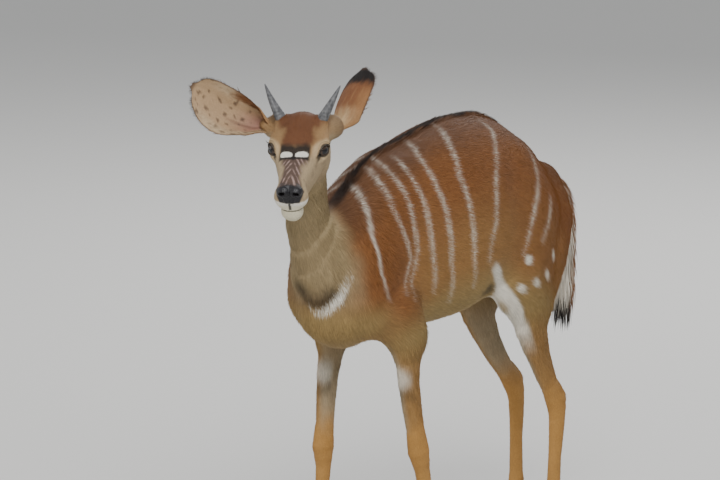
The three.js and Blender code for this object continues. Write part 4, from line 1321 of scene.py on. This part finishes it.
def tube(rings):
    """Points and triangles of a closed tube through rings of points, with a point at each end."""
    rows, columns = rings.shape[:2]
    points = np.vstack([rings.reshape(-1, 3), rings[0].mean(0), rings[-1].mean(0)])
    i, j = np.meshgrid(np.arange(rows - 1), np.arange(columns), indexing="ij")
    a, b = (i * columns + j).ravel(), (i * columns + (j + 1) % columns).ravel()
    c, d = b + columns, a + columns
    first, last = rows * columns, rows * columns + 1
    around = np.arange(columns)
    after = (around + 1) % columns
    end = (rows - 1) * columns
    tris = np.vstack([
        np.column_stack([a, b, c]), np.column_stack([a, c, d]),
        np.column_stack([np.full(columns, first), after, around]),
        np.column_stack([np.full(columns, last), around + end, after + end]),
    ])
    return points, outward(points, tris)


def outward(points, tris):
    """The same triangles, turned over if the closed surface faces inwards."""
    a, b, c = points[tris[:, 0]], points[tris[:, 1]], points[tris[:, 2]]
    volume = (a * np.cross(b, c)).sum()
    return tris if volume > 0 else tris[:, ::-1]


def strands(name, roots, ways, spans, width, bend, colour):
    """Single hairs that bend towards a direction, each a thin closed spike."""
    steps, sides = 6, 3
    points, tris, corners = [], [], []
    for number, (root, way, length) in enumerate(zip(roots, ways, spans)):
        way = unit(way)
        across = unit(np.cross(way, bend + 1e-3))
        up = np.cross(across, way)
        rings = []
        for step in range(steps):
            t = step / steps
            centre = root + way * length * t + bend * length * t * t
            size = width * (1 - t) ** 0.7
            turn = np.arange(sides) / sides * 2 * math.pi
            rings.append(centre + size * (np.cos(turn)[:, None] * across + np.sin(turn)[:, None] * up))
        own, faces = tube(np.array(rings))
        own[-1] = root + way * length + bend * length
        tris.append(faces + number * len(own))
        points.append(own)
        spot = np.array([0.1 + 0.8 * (number + 0.5) / len(spans), 0.5])
        local = np.column_stack([np.arange(len(own)) % sides, np.arange(len(own)) // sides]) * 0.0005
        corners.append((spot + local)[faces])
    points = np.vstack(points)
    coat = np.tile(colour, (len(points), 1))
    mesh = mesh_of(name, shown(points), np.vstack(tris), np.vstack(corners), coat=coat)
    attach(place(name, mesh, COAT), "root")


# Ears: a leaf rolled into a funnel at its root, opening towards the tip

ear_arc = profile((0, 88), (0.2, 106), (0.45, 112), (0.7, 98), (0.88, 66), (1, 12))
ear_curl = profile((0, 2.4), (0.2, 1.8), (0.45, 1.15), (0.75, 0.75), (1, 0.5))
ear_thickness = profile((0, 5.0), (0.3, 3.6), (1, 2.2))
EAR_ROWS = 46
EAR_COLUMNS = 31


def ear_leaf(side, root, way, facing, bend):
    """Points of the ear's back and inside, rows from root to tip, in the body's millimetres."""
    root = np.array(root, float)
    way, facing = ear_axes(way, facing)
    across = np.cross(way, facing)
    t = np.linspace(-0.03, 1, EAR_ROWS)[:, None]
    u = np.linspace(-1, 1, EAR_COLUMNS)[None, :]
    at = np.clip(t, 0, 1)
    radius = ear_arc(at) / (2 * ear_curl(at)) * (0.70 + 0.30 * smooth(-0.03, 0.2, t))
    angle = ear_curl(at) * (u + side * EAR_SKEW * np.sin(np.pi * at))
    thick = ear_thickness(at) * (1 - 0.55 * np.abs(u) ** 4) - 1.0
    ribs = 0.5 * np.cos(u * 11 + 1.5 * t) * np.sin(np.pi * at) * (np.abs(u) < 0.8)
    centre = root + way * (6 + t[..., None] * (EAR_LENGTH - 6)) + facing * bend * t[..., None] ** 2
    leaves = []
    for r in (radius - 0.6, radius - 0.6 - thick - ribs):
        out = (radius - r * np.cos(angle))[..., None]
        leaves.append(from_head(centre + facing * out + across * (r * np.sin(angle))[..., None]))
    return leaves, t + 0 * u, u + 0 * t


def ear(name, side, root, way, facing, bend):
    (back, inside), t, u = ear_leaf(side, root, way, facing, bend)
    count = EAR_ROWS * EAR_COLUMNS
    points = np.vstack([back.reshape(-1, 3), inside.reshape(-1, 3)])
    tris = [grid_faces(EAR_ROWS, EAR_COLUMNS, 0), grid_faces(EAR_ROWS, EAR_COLUMNS, count, True)]
    number = np.arange(count).reshape(EAR_ROWS, EAR_COLUMNS)
    edge = np.concatenate([number[0], number[1:, -1], number[-1, -2::-1], number[-2:0:-1, 0]])
    after = np.roll(edge, -1)
    tris.append(np.column_stack([edge, after + count, after]))
    tris.append(np.column_stack([edge, edge + count, after + count]))
    tris = np.vstack(tris)
    tris = outward(points - points.mean(0), tris)
    t, u = t.ravel(), u.ravel()
    flat = np.vstack([np.column_stack([0.25 + 0.21 * u, 0.04 + 0.9 * np.clip(t, 0, 1)]),
                      np.column_stack([0.75 + 0.21 * u, 0.04 + 0.9 * np.clip(t, 0, 1)])])
    ticks = wander(points, 5.0, 7.0)
    fine = wander(points, 14.0, 3.0)
    outer = np.arange(2 * count) < count
    t, u = np.tile(t, 2), np.tile(u, 2)
    au = np.abs(u)
    small = wander(points, 3.1, 1.0)
    streaks = np.tile((0.6 * np.sin(u * 23 + 2 * np.sin(t * 9)) + 0.4 * np.sin(u * 51 + t * 7))[:count], 2)
    outside = painted(
        (0.180, 0.070, 0.026),
        ((0.450, 0.310, 0.165), smooth(0.42, 0.02, t + fine * 0.06 + streaks * 0.05)),
        ((0.300, 0.150, 0.060), smooth(0.4, 0.9, au) * smooth(0.75, 0.5, t) * 0.7),
        ((0.300, 0.150, 0.060), smooth(0.2, 0.9, streaks) * smooth(0.8, 0.6, t) * 0.4),
        (BLACK_BROWN, smooth(0.66, 0.82, t + fine * 0.05 + streaks * 0.03)),
    )
    inside = painted(
        EAR_BUFF,
        ((0.460, 0.340, 0.210), smooth(0.45, 0.8, au) * smooth(0.9, 0.6, t)),
        ((0.300, 0.150, 0.105), smooth(0.50, 0.08, t) * smooth(0.75, 0.2, np.abs(u + 0.15))),
        ((0.120, 0.050, 0.032), smooth(0.10, 0.0, np.abs(u + 0.34 - 0.3 * t)) * smooth(0.6, 0.3, t) * 0.7),
        ((0.055, 0.028, 0.018), smooth(0.42, 0.70, ticks + 0.25 * small) * smooth(0.1, 0.25, t) * 0.75),
        ((0.180, 0.075, 0.028), smooth(0.55, 0.72, u + small * 0.05) * smooth(0.62, 0.40, t)),
    )
    colour = np.where(outer[:, None], outside, inside)
    rim = smooth(0.94, 0.99, np.maximum(au, t)) * smooth(0.12, 0.3, t)
    colour = mix(colour, (0.060, 0.030, 0.018), rim * 0.85)
    normals = point_normals(points, tris)
    way, open_way = turned_by_head(way), turned_by_head(facing)
    spread = np.sign(u)[:, None] * np.cross(way, open_way)
    lie = np.tile(way, (2 * count, 1)) + spread * np.where(outer, 0.25, -0.15)[:, None]
    lie += spread * (smooth(0.9, 1.0, au) * 1.2)[:, None]
    lie -= normals * (lie * normals).sum(1, keepdims=True) * 0.95
    length = np.where(outer, 7.5, 5.0 + 9.0 * smooth(0.5, 0.85, au) * smooth(1.0, 0.5, t))
    length = length + 3.0 * smooth(0.35, 0.0, t) * outer
    lift = np.where(outer, 0.10, 0.22)
    cover = np.where(outer, 1.0, 0.30 + 0.5 * smooth(0.5, 0.9, au)) * (t > 0.0)
    mesh = mesh_of(
        "ear_skin_" + name, shown(points), tris, flat[tris], coat=colour, bare=0.25 * ~outer, lie=lie,
        out=normals, length=length * METRE, lift=lift, cover=cover, region=np.where(outer, 1, 2))
    piece = place("ear_skin_" + name, mesh, SKIN)
    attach(piece, "root")
    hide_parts("ear_" + name)
    grown("coat_ear_back_" + name, piece, Region=1, Seed=31, Spacing=0.0016, Width=0.22, Thickness=0.1,
          Steps=1)
    grown("coat_ear_inside_" + name, piece, Region=2, Seed=33, Spacing=0.0021, Width=0.10, Thickness=0.06,
          Steps=2, Arch=0.02)
    clean(mesh)


for given in EARS:
    ear(*given)


# Horns: short spikes with growth rings at the root

HORN_WAY = unit((0.46, 0.44, 0.77))
HORN_REACH = 78.0
for name, side in SIDES:
    way = HORN_WAY * (side, 1, 1)
    across = unit(np.cross((0, 1, 0), way))
    up = np.cross(way, across)
    start = HORN_PLACE * (side, 1, 1)
    rings = []
    turn = np.linspace(0, 2 * math.pi, 28, endpoint=False)
    for t in np.linspace(0, 1, 64):
        ripple = 0.42 * math.sin(t * 78) * (1 - t) ** 2.2 + 0.12 * math.sin(t * 190)
        radius = (10.5 + ripple) * (1 - t) ** 0.82 + 0.9
        keel = 1 + 0.05 * np.cos(3 * turn + 2.4 * t * side) * (1 - t)
        centre = start + way * t * HORN_REACH - up * 5 * math.sin(math.pi * t)
        rings.append(centre + (radius * keel * np.cos(turn))[:, None] * across
                     + (1.12 * radius * keel * np.sin(turn))[:, None] * up)
    points, tris = tube(np.array(rings))
    piece = place("spike_" + name, mesh_of("spike_" + name, shown(from_head(points)), tris), HORN)
    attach(piece, "root")
    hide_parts("horn_" + name)


# Eyes: dark balls with a lying pupil, lashes over them and whiskers on the lips

rng = np.random.default_rng(7)
lash_roots, lash_ways, lash_lengths = [], [], []
for name, side in SIDES:
    flip = np.array([side, 1, 1])
    rings = []
    turn = np.linspace(0, 2 * math.pi, 48, endpoint=False)
    for tilt in np.linspace(0.02, math.pi - 0.02, 40):
        bulge = EYE_RADIUS + 0.7 * math.exp(-(tilt / 0.55) ** 2)
        rings.append(EYE_PLACE + bulge * (math.cos(tilt) * GAZE + math.sin(tilt) * (
            np.cos(turn)[:, None] * LID_FORE + np.sin(turn)[:, None] * LID_UP)))
    points, tris = tube(np.array(rings))
    fore, up, out = ((points - EYE_PLACE) @ v for v in (LID_FORE, LID_UP, GAZE))
    off = np.hypot(fore, up)
    pupil = smooth(8.5, 7.0, np.abs(fore)) * smooth(4.6, 3.4, np.abs(up)) * (out > 0)
    colour = painted(
        (0.026, 0.015, 0.010),
        ((0.045, 0.024, 0.012), smooth(5, 8, off) * (out > 0) * 0.8),
        ((0.003, 0.003, 0.004), pupil),
        ((0.004, 0.003, 0.003), smooth(10.2, 11.2, off)),
    )
    points = points * flip
    tris = outward(points - points.mean(0), tris)
    mesh = mesh_of("eyeball_" + name, shown(from_head(points)), tris, coat=colour)
    piece = place("eyeball_" + name, mesh, EYE)
    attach(piece, "root")
    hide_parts("eye_" + name)
    for t in np.linspace(-1, 0.75, 26):
        along = 14.5 * -t
        high = LID_HIGH * (1 - (along / LID_REACH) ** 2) + 0.6
        fore = along * math.cos(LID_SLANT) + high * math.sin(LID_SLANT)
        rise = high * math.cos(LID_SLANT) - along * math.sin(LID_SLANT)
        depth = math.sqrt(max(EYE_RADIUS ** 2 - along ** 2 - high ** 2, 30.0)) + 0.8
        root = EYE_PLACE + LID_FORE * fore + LID_UP * rise + GAZE * depth
        way = GAZE * 0.8 - LID_FORE * (0.15 + 0.8 * max(t, -0.2)) + LID_UP * 0.25 + rng.normal(0, 0.08, 3)
        lash_roots.append(from_head(root * flip))
        lash_ways.append(turned_by_head(way * flip))
        lash_lengths.append(7.0 + 6.0 * max(t, 0) + rng.uniform(-1, 1))
strands("lashes", lash_roots, lash_ways, lash_lengths, 0.34, np.array([0, 0, 0.25]), (0.008, 0.006, 0.006))

whisker_roots, whisker_ways, whisker_lengths = [], [], []
for _ in range(36):
    side = rng.choice((-1.0, 1.0))
    spot = [side * rng.uniform(8, 22), rng.uniform(-222, -188), rng.choice((-36.0, -44.0, -60.0, -68.0))]
    spot[2] += rng.uniform(-4, 4)
    nearest = face_points[np.argmin(lengths(skin_points[face_points] - from_head(spot)))]
    whisker_roots.append(skin_points[nearest])
    whisker_ways.append(skin_normals[nearest] + rng.normal(0, 0.2, 3))
    whisker_lengths.append(rng.uniform(7, 14))
strands("whiskers", whisker_roots, whisker_ways, whisker_lengths, 0.12, np.array([0, 0, -0.25]),
        (0.22, 0.19, 0.16))


# Tail: a slim core under locks, brown above and white below

TAIL = stations([
    (0, 574, 722, 15, 15), (0, 612, 726, 14, 14), (0, 644, 704, 12, 12), (0, 657, 660, 11, 10),
    (0, 660, 600, 10, 9), (0, 658, 535, 9, 7), (0, 655, 486, 5, 4),
], 6)
rings = []
turn = np.linspace(0, 2 * math.pi, 20, endpoint=False)
ways = np.gradient(TAIL[:, :3], axis=0)
ways /= np.linalg.norm(ways, axis=1, keepdims=True)
for row, way in zip(TAIL, ways):
    back = np.cross((1, 0, 0), way)
    aside = (row[3] * np.cos(turn))[:, None] * (1, 0, 0)
    rings.append(row[:3] + aside + (row[4] * np.sin(turn))[:, None] * back)
points, tris = tube(np.array(rings))
normals = point_normals(points, tris)
nearest = np.array([np.argmin(lengths(TAIL[:, :3] - p)) for p in points])
along = nearest / (len(TAIL) - 1)
behind = ((points - TAIL[nearest, :3]) * np.cross((1, 0, 0), ways[nearest])).sum(1)
behind = behind / TAIL[nearest, 4] * (1 if np.cross((1, 0, 0), ways[12])[1] > 0 else -1)
colour = painted(
    (0.640, 0.590, 0.500),
    ((0.200, 0.085, 0.030), smooth(-0.35, 0.25, behind)),
    (BLACK_BROWN, smooth(0.82, 0.97, along)),
)
round_tail = np.arctan2(points[:, 0], points[:, 1] - 640.0)
flat = np.column_stack([0.5 + 0.4 * np.sin(round_tail), 0.05 + 0.9 * along])
mesh = mesh_of(
    "tail_core", shown(points), tris, flat[tris], coat=colour, bare=np.zeros(len(points)), lie=ways[nearest],
    out=normals, length=(20.0 + 46.0 * smooth(0.15, 0.6, along)) * METRE, lift=np.full(len(points), 0.16),
    cover=smooth(0.02, 0.12, along), region=np.ones(len(points)))
piece = place("tail_core", mesh, SKIN)
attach(piece, "root")
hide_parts("tail")
grown("coat_tail", piece, Region=1, Seed=41, Spacing=0.0022, Width=0.055, Thickness=0.035, Steps=3,
      Arch=0.06, Stray=0.10)
clean(mesh)

# Hooves and dewclaws keep their solids under a horny finish
for name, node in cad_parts.items():
    if name.startswith(("hoof", "dewclaw")):
        if not len(node.material_slots):
            node.data.materials.append(HOOF)
        for slot in node.material_slots:
            slot.material = HOOF


# Floor, light and camera

def floor_and_lights():
    finish = Finish("floor", base_color=(0.62, 0.61, 0.59), roughness=0.85)
    mesh = bpy.data.meshes.new("floor")
    mesh.from_pydata([(-30, -30, 0), (30, -30, 0), (30, 30, 0), (-30, 30, 0)], [], [(0, 1, 2, 3)])
    floor = place("floor", mesh, finish.material)
    floor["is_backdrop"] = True
    for name, spot, power, size in (
        ("key_light", (3.2, -3.6, 4.4), 320.0, 2.6), ("fill_light", (-4.2, -2.6, 2.6), 80.0, 4.0),
        ("back_light", (-1.5, 4.0, 3.8), 170.0, 3.0),
    ):
        lamp = bpy.data.lights.new(name, "AREA")
        lamp.energy = power
        lamp.size = size
        light = bpy.data.objects.new(name, lamp)
        light.location = spot
        light.rotation_euler = (Vector((0, 0, 0.6)) - Vector(spot)).to_track_quat("-Z", "Y").to_euler()
        bpy.context.scene.collection.objects.link(light)
    world = bpy.data.worlds.new("studio")
    world.use_nodes = True
    world.node_tree.nodes["Background"].inputs["Color"].default_value = (0.82, 0.84, 0.86, 1)
    world.node_tree.nodes["Background"].inputs["Strength"].default_value = 0.68
    bpy.context.scene.world = world


def photo_camera():
    azimuth, elevation = math.radians(VIEW_AZIMUTH), math.radians(VIEW_ELEVATION)
    flat = math.cos(elevation)
    out = Vector((math.sin(azimuth) * flat, -math.cos(azimuth) * flat, math.sin(elevation)))
    lens = bpy.data.cameras.new("camera")
    lens.lens = VIEW_LENS
    lens.sensor_width = 36.0
    lens.clip_end = 200.0
    camera = bpy.data.objects.new("camera", lens)
    camera.location = Vector(VIEW_TARGET) + out * VIEW_DISTANCE
    camera.rotation_euler = (-out).to_track_quat("-Z", "Y").to_euler()
    bpy.context.scene.collection.objects.link(camera)
    bpy.context.scene.camera = camera


floor_and_lights()
photo_camera()
low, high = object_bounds()
